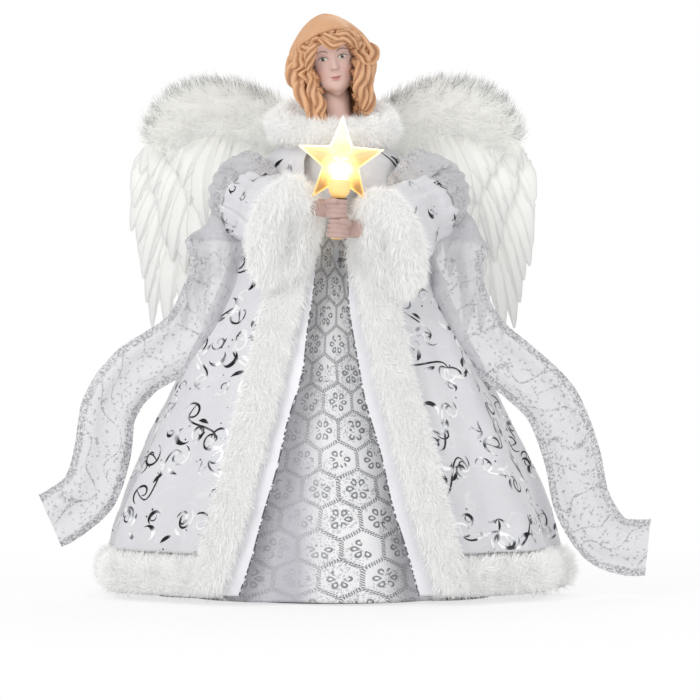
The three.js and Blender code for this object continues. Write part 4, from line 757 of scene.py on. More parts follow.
def robePoint(u, z):
    s = robeSizes
    u, z = np.broadcast_arrays(np.asarray(u, float), np.asarray(z, float))
    drop = 1 - z / s["top"]
    halfWidth = s["halfWidth"] * along(s["widths"], drop)
    halfDepth = s["halfDepth"] * along(s["depths"], drop)
    start = np.arcsin(robeEdge(1, z) / halfWidth)
    end = 2 * np.pi + np.arcsin(robeEdge(-1, z) / halfWidth)
    a = start + (end - start) * u
    wave = 0.7 * np.cos(11 * a + 0.6) + 0.3 * np.cos(19 * a)
    fold = 1 + s["fold"] * drop * wave * smoothRise(np.minimum(u, 1 - u), 0, 0.12)
    return np.stack([halfWidth * fold * np.sin(a), -halfDepth * fold * np.cos(a), z], -1)


# Points of the robe, with their ways to the side, up and out.
def robeFrame(u, z):
    u, z = np.asarray(u, float), np.asarray(z, float)
    side = unit(robePoint(u + 0.004, z) - robePoint(u - 0.004, z))
    up = unit(robePoint(u, z + 1.5) - robePoint(u, z - 1.5))
    return robePoint(u, z), side, up, unit(np.cross(side, up))


# The front edge's points and ways at the heights z, and its ways out; below the hem they run straight down.
def robeFront(side, z):
    point, sideways, up, outward = robeFrame(0.0 if side > 0 else 1.0, np.maximum(z, robeSizes["lowest"]))
    point[:, 2] = z
    return point, sideways, outward


def gridLengths(grid):
    across = np.linalg.norm(np.diff(grid, axis=1), axis=2).sum(axis=1).max()
    down = np.linalg.norm(np.diff(grid, axis=0), axis=2).sum(axis=0).max()
    return across, down


def sheetFrom(name, grid, material, thickness, slot, nodes=(), wrap=False, values=None):
    made = clothObject(name, grid, wrap, values)
    across, down = gridLengths(closed(grid) if wrap else grid)
    finishPiece(made, material, "figure", slot, *nodes)
    if thickness:
        thicken(made, thickness)


def creased(grid, depth, scale=0.045, wrap=False):
    normals = gridNormals(grid, wrap)
    broad = field(grid * [1, 1, 0.45], scale, 3.0) * depth
    fine = field(grid * [1, 1, 0.6], scale * 3.1, 9.0) * depth * 0.3
    return grid + normals * (broad + fine)[..., None]


# Foil print: strokes drawn in millimetres on a cloth grid and laid just over it
def stroke(points, widths):
    points, widths = np.asarray(points, float), np.asarray(widths, float)
    way = unit(np.gradient(points, axis=0))
    aside = np.stack([-way[:, 1], way[:, 0]], -1) * widths[:, None] / 2
    return np.stack([points + aside, points - aside], 1)


def polar(reach, angle):
    return np.stack([reach * np.cos(angle), reach * np.sin(angle)], -1)


def spiralStroke(radius, turns, width):
    t = np.linspace(0, 1, 26)
    widths = width * (0.25 + 1.1 * np.sin(np.pi * t**0.7))
    return stroke(polar(radius * (1 - 0.86 * t), t * turns * 2 * np.pi), widths)


def crescentStroke(radius, width, sweep=3.6):
    t = np.linspace(0, 1, 20)
    return stroke(polar(radius, (t - 0.5) * sweep), 0.15 + width * np.sin(np.pi * t) ** 1.5)


def leafStroke(length, width, bend=0.3):
    t = np.linspace(0, 1, 10)
    return stroke(np.stack([length * t, length * bend * t * t], -1), 0.1 + width * np.sin(np.pi * t))


def dotStroke(radius):
    t = np.linspace(0, 1, 5)
    widths = 0.1 + 2 * radius * np.sin(np.pi * (0.08 + 0.84 * t))
    return stroke(np.stack([(t - 0.5) * 2 * radius, t * 0], -1), widths)


def turnedStroke(strip, angle, x=0.0, y=0.0, flip=1):
    c, s = math.cos(angle), math.sin(angle)
    return strip * [1, flip] @ np.array([[c, s], [-s, c]]) + [x, y]


# A vine: a long S with a spiral at each end, side spirals, leaves, a thick crescent now and then, and dots.
def vineMotif(draw, size):
    t = np.linspace(-1, 1, 34)
    bend = draw.uniform(0.2, 0.34) * size
    spine = np.stack([size * 0.42 * t, bend * np.sin(np.pi * t * 0.9)], -1)
    pieces = [stroke(spine, size * 0.03 * (0.35 + 0.65 * np.cos(t * 1.5)))]
    for end in (-1, 1):
        x, y = size * 0.42 * end, bend * math.sin(math.pi * end * 0.9)
        pieces.append(turnedStroke(spiralStroke(size * 0.18, draw.uniform(0.95, 1.2), size * 0.026),
                                   (end < 0) * np.pi + 0.9, x - end * size * 0.12, y + end * size * 0.1, -1))
    for side in (-1, 1):
        pieces.append(turnedStroke(leafStroke(size * 0.2, size * 0.06, 0.5), side * draw.uniform(-1.7, -0.9),
                                   size * 0.12 * side, bend * 0.3 * side, side))
    if draw.random() < 0.5:
        pieces.append(turnedStroke(crescentStroke(size * 0.13, size * 0.07, 3.4), draw.uniform(0, 6.28),
                                   draw.uniform(-0.1, 0.1) * size, -0.28 * size))
    for _ in range(2):
        pieces.append(turnedStroke(dotStroke(draw.uniform(0.3, 0.6)), 0, draw.uniform(-0.45, 0.45) * size,
                                   draw.uniform(-0.35, 0.35) * size))
    whole = draw.uniform(0, 6.28)
    return [turnedStroke(strip, whole) for strip in pieces]


# Small filling between the vines: a spiral, a thick crescent or a sprig of leaves.
def scrollMotif(draw, size):
    pieces, kind, flip = [], draw.integers(0, 4), draw.choice([-1, 1])
    if kind < 2:
        pieces += [turnedStroke(spiralStroke(size * 0.36, 1.15, size * 0.06), 0, 0, 0, flip),
                   turnedStroke(leafStroke(size * 0.4, size * 0.08), 1.1, -size * 0.3, -size * 0.18, flip)]
    elif kind == 2:
        pieces += [turnedStroke(crescentStroke(size * 0.28, size * 0.17), 0.4, 0, 0, flip),
                   turnedStroke(crescentStroke(size * 0.15, size * 0.05), 3.2, size * 0.08, size * 0.05,
                                flip)]
    else:
        leaf = leafStroke(size * 0.45, size * 0.08, 0.5)
        pieces += [turnedStroke(leaf, k * 1.1, 0, 0, flip) for k in range(3)]
    for _ in range(2):
        angle, reach = draw.uniform(0, 6.28), size * draw.uniform(0.4, 0.6)
        pieces += [turnedStroke(dotStroke(draw.uniform(0.3, 0.6)), 0, reach * math.cos(angle),
                                reach * math.sin(angle))]
    whole = draw.uniform(0, 6.28)
    return [turnedStroke(strip, whole) for strip in pieces]


def onGrid(grid, rows, columns):
    rows = np.clip(rows, 0, grid.shape[0] - 1.001)
    columns = np.clip(columns, 0, grid.shape[1] - 1.001)
    i, j = np.floor(rows).astype(int), np.floor(columns).astype(int)
    a, b = (rows - i)[..., None], (columns - j)[..., None]
    return ((grid[i, j] * (1 - a) + grid[i + 1, j] * a) * (1 - b)
            + (grid[i, j + 1] * (1 - a) + grid[i + 1, j + 1] * a) * b)


# Strips that would run over the cloth's edge are left out.
def foilOn(name, grid, centres, motifs, lift):
    normals = gridNormals(grid, False)
    lastRow, lastColumn = grid.shape[0] - 1, grid.shape[1] - 1
    points, faces, first = [], [], 0
    for (row, column), strips in zip(centres, motifs):
        i, j = int(min(row, lastRow - 1)), int(min(column, lastColumn - 1))
        perColumn = np.linalg.norm(grid[i, j + 1] - grid[i, j])
        perRow = np.linalg.norm(grid[i + 1, j] - grid[i, j])
        for strip in strips:
            rows, columns = row - strip[..., 1] / perRow, column + strip[..., 0] / perColumn
            if min(rows.min(), columns.min()) < 0 or rows.max() > lastRow or columns.max() > lastColumn:
                continue
            laid = onGrid(grid, rows, columns) + onGrid(normals, rows, columns) * lift
            points.append(laid.reshape(-1, 3))
            faces += [[first + 2 * k, first + 2 * k + 1, first + 2 * k + 3, first + 2 * k + 2]
                      for k in range(len(strip) - 1)]
            first += len(points[-1])
    return finishPiece(makeMesh(name, np.concatenate(points), faces), finish["foil"], "figure", None)


# Jittered centres about every `step` millimetres over a grid, every other row shifted.
def scatter(grid, step, draw):
    rows = max(int(gridLengths(grid)[1] / step), 1)
    lastRow, lastColumn = grid.shape[0] - 1, grid.shape[1] - 1
    found = []
    for i in range(rows):
        row = (i + 0.5 + draw.uniform(-0.2, 0.2)) / rows * lastRow
        width = np.linalg.norm(np.diff(grid[int(row)], axis=0), axis=1).sum()
        here = max(int(width / step), 1)
        for j in range(here):
            column = (j + 0.5 + 0.3 * (i % 2) + draw.uniform(-0.2, 0.2)) / here * lastColumn
            if 0 < column < lastColumn:
                found.append((row, column))
    return found


def makeRobe():
    s = robeSizes
    z = np.linspace(s["tuckTop"], s["hem"], s["rows"])[:, None]
    u = np.linspace(0, 1, s["columns"])[None, :]
    grid = robePoint(u, z)
    grid[..., :2] *= (1 - s["tuck"] * smoothRise(z, s["tuckFrom"], s["tuckTop"]))[..., None]
    fade = (smoothRise(np.minimum(u, 1 - u), 0, 0.05) * smoothRise(1 - z / s["top"], 0, 0.3))[..., None]
    grid = grid + (creased(grid, s["crease"], s["creaseScale"]) - grid) * fade
    draw = np.random.default_rng(7)
    centres = scatter(grid, s["vineStep"], draw)
    motifs = [vineMotif(draw, s["vine"] * draw.uniform(0.85, 1.15)) for _ in centres]
    down, aside = s["sprigShift"]
    small = [(row + down, column + aside) for row, column in scatter(grid, s["sprigStep"], draw)]
    motifs += [scrollMotif(draw, s["sprig"] * draw.uniform(0.7, 1.2)) for _ in small]
    foil = foilOn("robe_foil", grid, centres + small, motifs, s["thickness"] / 2 + s["foilLift"])
    sheetFrom("robe_cloth", grid, finish["robe"], s["thickness"], "robe_satin",
              ["robe"])


makeRobe()
print("stage: robe")


# Dress and bodice
dressSizes = {"top": 193, "halfWidth": 92, "halfDepth": 72, "fold": 7.2 / 144, "thickness": 0.8,
              "columns": 300, "rows": 120, "crease": 0.8, "clear": 1.2,
              "widths": [0.22, 0.36, 0.5, 0.64, 0.78, 0.9, 1],
              "depths": [0.25, 0.375, 0.51, 0.65, 0.79, 0.92, 1]}


def makeDress():
    s = dressSizes
    a = np.linspace(-np.pi, np.pi, s["columns"], endpoint=False)[None, :]
    drop = np.linspace(0, 1 - s["clear"] / s["top"], s["rows"])[:, None]
    halfWidth = s["halfWidth"] * along(s["widths"], drop)
    halfDepth = s["halfDepth"] * along(s["depths"], drop)
    wave = 0.75 * np.cos(9 * a - 1.3) + 0.25 * np.cos(17 * a + 0.8)
    fold = 1 + s["fold"] * drop * wave
    z = np.broadcast_to(s["top"] * (1 - drop), fold.shape)
    grid = np.stack([halfWidth * fold * np.sin(a), -halfDepth * fold * np.cos(a), z], -1)
    grid = grid + (creased(grid, s["crease"], wrap=True) - grid) * smoothRise(drop, 0, 0.3)[..., None]
    shadow = np.clip(0.5 - wave * 0.5, 0, 1) ** 2 * drop * 0.7
    shadow = np.clip(shadow + 0.65 * smoothRise(-grid[..., 0], 9, 24), 0, 1)
    sheetFrom("dress_cloth", grid, finish["brocade"], s["thickness"], "brocade",
              ["dress"], wrap=True, values={"shadow": closed(shadow)})


torsoSizes = {"base": 188.3, "height": 54, "halfWidth": 27, "halfDepth": 15, "out": 1.15, "upTo": 0.8,
              "rows": 40, "columns": 96, "crease": 0.5, "thickness": 0.5,
              "widths": [0.68, 0.66, 0.78, 0.94, 1, 0.86, 0.5],
              "depths": [0.88, 0.86, 0.94, 1, 0.98, 0.84, 0.55]}


def makeBodice():
    s = torsoSizes
    share = np.linspace(s["upTo"], 0.0, s["rows"])[:, None]
    a = np.linspace(-np.pi, np.pi, s["columns"], endpoint=False)[None, :]
    across = s["halfWidth"] * along(s["widths"], share) + s["out"]
    deep = s["halfDepth"] * along(s["depths"], share) + s["out"]
    z = np.broadcast_to(s["base"] + s["height"] * share, (s["rows"], s["columns"]))
    grid = creased(np.stack([across * np.sin(a), -deep * np.cos(a), z], -1), s["crease"], 0.09, True)
    sheetFrom("bodice_cloth", grid, finish["bodice"], s["thickness"], "satin",
              ["bodice"], wrap=True)


makeDress()
makeBodice()
print("stage: dress and bodice")


# Sleeves and their fur cuffs
armSizes = {"shoulder": (24.84, 0, 230.3), "elbows": {1: (52, -8, 208.3), -1: (-46, -8, 208.3)},
            "mouths": {1: (29, -49, 185.3), -1: (-25, -49, 190.8)}, "root": 14, "elbowRadius": 16,
            "mouthHalf": (13, 25.5), "start": 0.2, "end": 0.93, "rows": 70, "columns": 96, "gather": 0.035,
            "flutter": 0.02, "rings": 0.05, "crease": 1.3, "thickness": 0.7, "sprigStep": 15.0, "sprig": 11.0}


def sleevePath(side, share):
    shoulder = np.array(armSizes["shoulder"]) * [side, 1, 1]
    elbow = np.array(armSizes["elbows"][side], float)
    mouth = np.array(armSizes["mouths"][side], float)
    points = [shoulder, shoulder + (elbow - shoulder) * 0.6, elbow, (elbow + mouth) / 2, mouth]
    ahead = curveAt(points, share + 0.005) - curveAt(points, share - 0.005)
    if share > 0.99:
        ahead = mouth - curveAt(points, 0.98)
    way = unit(ahead)
    across = unit(np.cross(way, zAxis))
    return curveAt(points, share), way, across, unit(np.cross(across, way))


def sleeveHalves(share):
    opening = float(smoothRise(share, 0.45, 1))
    plain = armSizes["root"] + (armSizes["elbowRadius"] - armSizes["root"]) * float(smoothRise(share, 0, 0.5))
    halfAcross, halfUp = armSizes["mouthHalf"]
    return plain + (halfAcross - plain) * opening, plain + (halfUp - plain) * opening


# A tube's grid with its columns in the order that makes its normals point outwards.
def facingOut(grid):
    middle = len(grid) // 2
    normal = gridNormals(closed(grid), False)[middle, 0]
    return grid[:, ::-1] if np.dot(normal, grid[middle, 0] - grid[middle].mean(axis=0)) < 0 else grid


def makeSleeve(side, which):
    s = armSizes
    angle = roundTurn(s["columns"])
    rows = []
    for share in np.linspace(s["start"], s["end"], s["rows"]):
        centre, way, across, up = sleevePath(side, share)
        halfAcross, halfUp = sleeveHalves(share)
        gather = 1 + s["gather"] * np.cos(9 * angle + 3 * share) * float(smoothRise(share, 0.3, 0.8))
        gather = gather + s["flutter"] * np.cos(17 * angle + 1.2)
        swell = 1 + s["rings"] * math.sin(share * 34)
        rows.append(ellipseRing(centre, across, up, halfAcross * gather * swell, halfUp * gather * swell,
                                s["columns"]))
    grid = np.array(rows)[:, ::side]
    grid = facingOut(creased(grid, s["crease"], 0.07, True))
    draw = np.random.default_rng(21 + side)
    centres = scatter(closed(grid), s["sprigStep"], draw)
    motifs = [scrollMotif(draw, s["sprig"]) for _ in centres]
    foil = foilOn("sleeve_%s_foil" % which, closed(grid), centres, motifs, 0.5)
    sheetFrom("sleeve_%s_cloth" % which, grid, finish["robe"], s["thickness"], "robe_satin",
              ["sleeve_%s" % which], wrap=True)


cuffSizes = {"half": (10.0, 21.5), "tube": (8.4, 6.6), "stations": 76, "sides": 22, "lump": 1.4,
             "lumpScale": 0.09, "strands": 11000, "pile": 6.4, "strand": 0.19, "comb": (0, -0.1, -0.3),
             "stand": 1.0, "clump": 1.2, "mess": 0.5, "bend": 0.5, "fill": 0.8}


def makeCuff(side, which):
    s = cuffSizes
    centre, way, across, up = sleevePath(side, 1.0)
    halfAcross, halfUp = s["half"]
    rings = []
    for a in roundTurn(s["stations"]):
        ring = centre + across * halfAcross * math.cos(a) + up * halfUp * math.sin(a)
        outward = unit(across * halfUp * math.cos(a) + up * halfAcross * math.sin(a))
        rings.append(ellipseRing(ring, outward, way, *s["tube"], s["sides"]))
    name = "fur_cuff_%s" % which
    makeFur("%s_pile" % name, rings, True, np.ones((s["stations"], s["sides"])), s, 11 + side, [name])


for side, which in ((-1, "right"), (1, "left")):
    makeSleeve(side, which)
    makeCuff(side, which)
print("stage: sleeves and cuffs")


# Fur down the front edges, round the hem and at the neck
trimSizes = {"foot": 8.5, "out": 5.2, "half": (9.8, 3.2), "swell": [0.55, 0.95, 1, 1, 1, 1, 1, 1, 0.98, 0.8],
             "stations": 90, "sides": 20, "lump": 0.8, "lumpScale": 0.06, "strands": 11700, "pile": 5.8,
             "strand": 0.19, "comb": (0, -0.1, -0.3), "stand": 1.0, "clump": 1.1, "mess": 0.5, "bend": 0.5,
             "fill": 0.8}


def makeTrim(side, which):
    s = trimSizes
    z = np.linspace(robeSizes["openTop"], s["foot"], s["stations"])
    point, sideways, outward = robeFront(side, z)
    swell = along(s["swell"], np.linspace(0, 1, len(z)))
    wide, deep = s["half"]
    rings = [ellipseRing(point[k] + outward[k] * s["out"], sideways[k], outward[k], wide * swell[k],
                         deep * swell[k], s["sides"]) for k in range(len(z))]
    furred = [np.clip(0.7 + np.sin(roundTurn(s["sides"])), 0.05, 1)] * len(z)
    name = "fur_trim_%s" % which
    makeFur("%s_pile" % name, rings, False, furred, s, 21 + side, [name])


liningSizes = {"from": 7.0, "to": 18.0, "out": 1.5, "wave": 0.8, "columns": 16, "rows": 120, "top": 180.0,
               "low": 5.0, "thickness": 0.5, "widths": [0.35, 0.7, 1, 1, 1, 1, 0.9]}


# The satin facing that shows beside the fur along each front edge, with a glittery dark selvedge.
def makeLining(side, which):
    s = liningSizes
    z = np.linspace(s["top"], s["low"], s["rows"])
    point, sideways, outward = robeFront(side, z)
    wide = s["from"] + (s["to"] - s["from"]) * along(s["widths"], np.linspace(0, 1, len(z)))
    edge = np.linspace(0, 1, s["columns"])[None, :] * np.ones((len(z), 1))
    away = s["from"] + edge * (wide - s["from"])[:, None]
    fold = s["wave"] * np.sin(z * 0.13 + side)[:, None] * (away / s["to"])
    grid = (point[:, None] - side * sideways[:, None] * (away + fold)[..., None]
            + outward[:, None] * (s["out"] + fold)[..., None])
    sheetFrom("robe_lining_%s" % which, grid[:, ::-side], finish["lining"], s["thickness"], "robe_satin",
              values={"edge": edge[:, ::-side]})


hemSizes = {"parts": 3, "height": 12.8, "half": (6.0, 9.4), "stations": 90, "sides": 20, "lump": 0.9,
            "lumpScale": 0.06, "strands": 9600, "pile": 5.8, "strand": 0.195, "comb": (0, 0, 0.12),
            "stand": 1.0, "clump": 1.1, "mess": 0.5, "bend": 0.3, "fill": 0.8}


# The hem's fur is in parts, to keep each one small; the first stands for the solid.
def makeHem():
    s = hemSizes
    angle = roundTurn(s["sides"])
    band = np.clip(0.7 + np.cos(angle), 0.05, 1) * np.clip(1.1 + 1.2 * np.sin(angle), 0.04, 1)
    for part in range(s["parts"]):
        u = np.linspace(part / s["parts"], (part + 1) / s["parts"], s["stations"])
        point, sideways, up, outward = robeFrame(u, np.full(len(u), robeSizes["hem"]))
        point[:, 2] = s["height"]
        outward[:, 2] = 0
        outward = unit(outward)
        rings = [ellipseRing(point[k], outward[k], zAxis, *s["half"], s["sides"]) for k in range(len(u))]
        makeFur("fur_hem_pile_%d" % (part + 1), rings, False, [band] * len(u), s, 31 + part,
                ["fur_hem"] if part == 0 else [])


collarSizes = {"half": (26.5, 18), "level": 245.8, "dip": 4.6, "tube": (6.6, 8.0), "thinner": 1.8,
               "stations": 84, "sides": 20, "lump": 1.2, "lumpScale": 0.09, "strands": 11000, "pile": 6.0,
               "strand": 0.19,
               "comb": (0, 0, -0.1), "stand": 1.0, "clump": 1.1, "mess": 0.5, "bend": 0.5, "fill": 0.8}


def makeCollar():
    s = collarSizes
    (wide, deep), (halfOut, halfUp) = s["half"], s["tube"]
    angle = roundTurn(s["sides"])
    rings = []
    for a in roundTurn(s["stations"]):
        centre = np.array([wide * math.sin(a), -deep * math.cos(a), s["level"] - s["dip"] * math.cos(a)])
        outward = unit(np.array([deep * math.sin(a), -wide * math.cos(a), 0]))
        high = halfUp - s["thinner"] * math.cos(a)
        rings.append(ellipseRing(centre, outward, zAxis, halfOut, high, s["sides"]))
    furred = [np.clip(0.9 + 0.6 * np.sin(angle) + 0.3 * np.cos(angle), 0.1, 1)] * s["stations"]
    makeFur("fur_collar_pile", rings, True, furred, s, 41, ["fur_collar"])


makeTrim(-1, "right")
makeTrim(1, "left")
makeLining(-1, "right")
makeLining(1, "left")
makeHem()
makeCollar()
print("stage: fur")


# Gauze shawl behind the robe, over the arms and out in two tails
# Each row of a tail: its place, as shares of the reach, the back's depth and the level, and its way across.
shawlSizes = {"width": 30, "elbowWidth": 44, "level": 198.1, "standOff": 3.0, "reach": {-1: 148, 1: 165},
              "ruffle": 2.2, "columns": 44, "rows": 420, "backs": (0.68, 0.59, 0.5, 0.41, 0.32),
              "elbows": (10.6, 17.4), "border": 0.76}
shawlRows = {
    -1: [(.39, .06, 1.04, .25, 0, 1), (.42, -.42, 1.01, .7, .1, .7), (.4, -.72, .89, 1, .3, .1),
         (.44, -.74, .78, .93, .1, -.38), (.51, -.6, .69, .66, 0, -.75), (.6, -.5, .64, .58, 0, -.82),
         (.7, -.48, .59, .71, .1, -.7), (.785, -.5, .5, .93, .2, -.38), (.815, -.5, .38, .97, 0, -.25),
         (.86, -.45, .28, .85, -.1, -.53), (.95, -.4, .22, .61, 0, -.79), (1, -.4, .2, .4, 0, -.9)],
    1: [(.385, .06, 1.04, -.25, 0, 1), (.41, -.42, 1.01, -.7, .1, .7), (.38, -.72, .89, -1, .3, .1),
        (.4, -.74, .78, -.94, .1, -.34), (.47, -.6, .68, -.77, 0, -.64), (.58, -.48, .6, -.68, 0, -.73),
        (.69, -.45, .51, -.83, .1, -.55), (.755, -.45, .38, -.95, .1, -.3), (.79, -.4, .25, -.93, 0, -.36),
        (.86, -.36, .155, -.69, -.1, -.72), (.94, -.33, .13, -.2, 0, -.98), (1, -.33, .13, -.1, 0, -1)],
}


def makeShawl():
    s = shawlSizes
    backs = []
    for u in s["backs"]:
        point, sideways, up, outward = robeFrame(u, s["level"])
        backs.append((point + outward * s["standOff"], up))
    depth = backs[2][0][1]
    tails = {side: [(np.array([side * s["reach"][side] * r[0], depth * r[1], s["level"] * r[2]]),
                     unit(np.array(r[3:], float))) for r in shawlRows[side]] for side in (-1, 1)}
    stops = tails[-1][::-1] + backs + tails[1]
    t = np.linspace(0, 1, s["rows"])
    centre = curveAt([stop[0] for stop in stops], t)
    across = unit(curveAt([stop[1] for stop in stops], t))
    way = unit(np.gradient(centre, axis=0))
    out = unit(np.cross(way, across))
    elbows = sum(np.exp(-((t * (len(stops) - 1) - k) / 1.1) ** 2) for k in s["elbows"])
    half = (s["width"] + (s["elbowWidth"] - s["width"]) * np.clip(elbows, 0, 1)) / 2
    spread, t, half = np.linspace(-1, 1, s["columns"])[None, :], t[:, None], half[:, None]
    folds = np.sin(spread * 6.2 + t * 11) * s["ruffle"] * (0.35 + 0.65 * np.abs(spread))
    ripple = np.sin(t * 210 + 2.2 * np.sin(t * 37)) * 0.9 * np.abs(spread) ** 2
    grid = (centre[:, None] + across[:, None] * (half * spread)[..., None]
            + out[:, None] * (folds + ripple)[..., None])
    border = (np.abs(spread) > s["border"]).astype(float) * np.ones_like(t)
    made = clothObject("shawl_cloth", grid, False, {"border": border})
    wide, long = gridLengths(grid)
    finishPiece(made, finish["organza"], "figure", "gauze", "shawl")


puffSizes = {"from": 0.16, "to": 0.6, "out": 1.2, "grow": 3.2, "ruffle": 1.1, "rows": 60, "columns": 120,
             "crease": 0.9, "border": 0.36}


# The gauze puffs that the shawl makes where it is gathered round each elbow.
def makePuff(side, which):
    s = puffSizes
    angle = roundTurn(s["columns"])
    shares = np.linspace(0, 1, s["rows"])
    rows = []
    for share in shares:
        at = s["from"] + (s["to"] - s["from"]) * share
        centre, way, across, up = sleevePath(side, at)
        halfAcross, halfUp = sleeveHalves(at)
        more = s["out"] + s["grow"] * math.sin(math.pi * share) ** 0.8
        ripple = s["ruffle"] * (0.3 + 0.7 * abs(2 * share - 1)) * np.sin(13 * angle + 5 * share)
        ripple = ripple * np.sin(math.pi * share) ** 0.3
        rows.append(ellipseRing(centre, across, up, halfAcross + more + ripple, halfUp + more + ripple,
                                s["columns"]))
    grid = creased(facingOut(np.array(rows)[:, ::side]), s["crease"], 0.08, True)
    border = (np.abs(shares - 0.5) > s["border"]).astype(float)[:, None] * np.ones((1, s["columns"] + 1))
    sheetFrom("shawl_puff_%s" % which, grid, finish["organza"], 0, "gauze",
              wrap=True, values={"border": border})


makeShawl()
makePuff(-1, "right")
makePuff(1, "left")
print("stage: shawl")


# Wings: every feather with its quill, split vanes and bend, and down over the top edge
wingSizes = {"top": 250.3, "reach": 95, "tipDrop": 118, "hinge": (13, 29.678), "turn": 7.0, "twist": 1.5,
             "inner": 7, "innerLow": {"secondaries": 0.62, "coverts": 0.44}, "featherRows": 40,
             "featherColumns": 11}
featherLayers = [("primaries", 13, 16.5, 1.0, 0.0), ("secondaries", 11, 15.0, 0.72, -2.1),
                 ("coverts", 9, 14.0, 0.45, -4.2)]  # name, feathers, width, reach, level


def wingPoint(side, local):
    local = np.asarray(local, float)
    c, s = math.cos(math.radians(wingSizes["turn"])), math.sin(math.radians(wingSizes["turn"]))
    x = local[..., 0] * c - local[..., 1] * s
    y = local[..., 0] * s + local[..., 1] * c
    reach, back = wingSizes["hinge"]
    return np.stack([side * (x + reach), y + back, local[..., 2]], -1)


def featherPlace(share):
    reach, drop, top = wingSizes["reach"], wingSizes["tipDrop"], wingSizes["top"]
    root = np.array([reach * float(along([.52, .6, .57, .5, .43, .36, .3], share)), 0,
                     top - drop * float(along([.01, .01, .02, .04, .06, .08, .11], share))])
    tip = np.array([reach * float(along([.86, .98, 1, .98, .96, .93, .87, .76, .6], share)), 0,
                    top - drop * float(along([.16, .3, .42, .54, .66, .79, .93, 1, .98], share))])
    return root, tip


def featherMesh(root, tip, width, level, draw):
    rows, columns = wingSizes["featherRows"], wingSizes["featherColumns"]
    t = np.linspace(0, 1, rows)
    v = np.linspace(-1, 1, columns)
    way = unit(tip - root)
    length = np.linalg.norm(tip - root)
    flat = unit(np.cross(way, [0, 1, 0]))
    bow = length * draw.uniform(0.08, 0.12)
    spine = root + way * (t * length)[:, None] + flat * (bow * np.sin(np.pi * t ** 0.9))[:, None]
    spine[:, 1] += level - 1.1 * t ** 2 + draw.uniform(-0.2, 0.2)
    profile = np.minimum(1, 0.3 + 1.8 * t)
    halves = np.stack([profile * width / 2 * share * np.clip((1.01 - t) / taper, 0, 1) ** power
                       for share, taper, power in ((0.72, 0.5, 0.85), (1.0, 0.3, 0.7))])
    for k in range(2):
        for _ in range(int(draw.integers(2, 5))):
            middle = draw.uniform(0.35, 0.95)
            halves[k] *= 1 - draw.uniform(0.12, 0.45) * np.clip(1 - np.abs(t - middle) / 0.02, 0, 1)
    half = np.where(v[None, :] < 0, halves[0][:, None], halves[1][:, None])
    twist = math.radians(wingSizes["twist"]) + draw.uniform(-0.02, 0.03)
    raised = -0.4 * np.cos(v * 1.5)[None, :] * np.minimum(half / width * 2, 1)
    quill = -0.45 * np.clip(1 - np.abs(v) / 0.12, 0, 1)[None, :] * (1 - 0.6 * t)[:, None]
    slant = 0.3 * np.abs(v)[None, :] * half
    points = (spine[:, None] + flat * (v[None, :] * half)[..., None] + way * slant[..., None]
              + yAxis * (raised + quill + v[None, :] * half * math.sin(twist))[..., None])
    uv = np.stack(np.broadcast_arrays(v[None, :], (t * length * 0.001)[:, None]), -1)
    reach = np.broadcast_to(t[:, None], (rows, columns))
    return points, uv, reach


def layerPlaces(layer, count, reach, draw):
    for i in range(count):
        root, tip = featherPlace(i / (count - 1))
        yield root, root + (tip - root) * reach * draw.uniform(0.95, 1.02)
    if layer in wingSizes["innerLow"]:
        top, low = wingSizes["top"], wingSizes["innerLow"][layer]
        for i in range(wingSizes["inner"]):
            x = wingSizes["reach"] * (0.05 + 0.42 * i / (wingSizes["inner"] - 1))
            root = np.array([x, 0, top - 8 + 5 * math.sin(x * 0.05)])
            fall = wingSizes["tipDrop"] * (low + 0.12 * draw.random())
            yield root, root + np.array([4 + x * 0.1, 0, -fall])


def makeFeathers(side, which, draw):
    for layer, count, width, reach, level in featherLayers:
        points, uvs, faces, reaches, first = [], [], [], [], 0
        for i, (root, tip) in enumerate(layerPlaces(layer, count, reach, draw)):
            grid, uv, run = featherMesh(root, tip, width * draw.uniform(0.9, 1.1), level - 0.1 * i, draw)
            faces.append(gridFaces(*run.shape, False) + first)
            points.append(wingPoint(side, grid).reshape(-1, 3))
            uvs.append(uv.reshape(-1, 2))
            reaches.append(run.ravel())
            first += run.size
        name = "wing_%s_%s" % (layer, which)
        made = makeMesh("%s_feathers" % name, np.concatenate(points), np.concatenate(faces),
                        np.concatenate(uvs), {"reach": np.concatenate(reaches)})
        finishPiece(made, finish["feather"], "wing_%s" % which, "feather", name)


downSizes = {"lift": 12, "sink": 4.0, "level": -3.6, "tube": (5.4, 13.0),
             "stops": [(.06, -1.4), (.27, .1), (.48, .62), (.68, .3), (.85, -1.0)],
             "swell": [.55, .95, 1, 1.02, 1, .9, .45], "stations": 56, "sides": 22, "lump": 1.0,
             "lumpScale": 0.08, "strands": 11500, "pile": 10.0, "strand": 0.16, "comb": (0.2, 0, 0.1),
             "stand": 1.0, "clump": 1.5, "mess": 0.8, "bend": 0.5, "fill": 0.7}
barbSizes = {"up": 0.8, "tube": (2.0, 1.2), "sides": 10, "lump": 0.3, "lumpScale": 0.09, "strands": 2300,
             "pile": 11.0, "strand": 0.28, "comb": (0.35, 0, 0.9), "stand": 0.7, "clump": 1.2, "mess": 0.8,
             "bend": 0.3, "fill": 0.7}


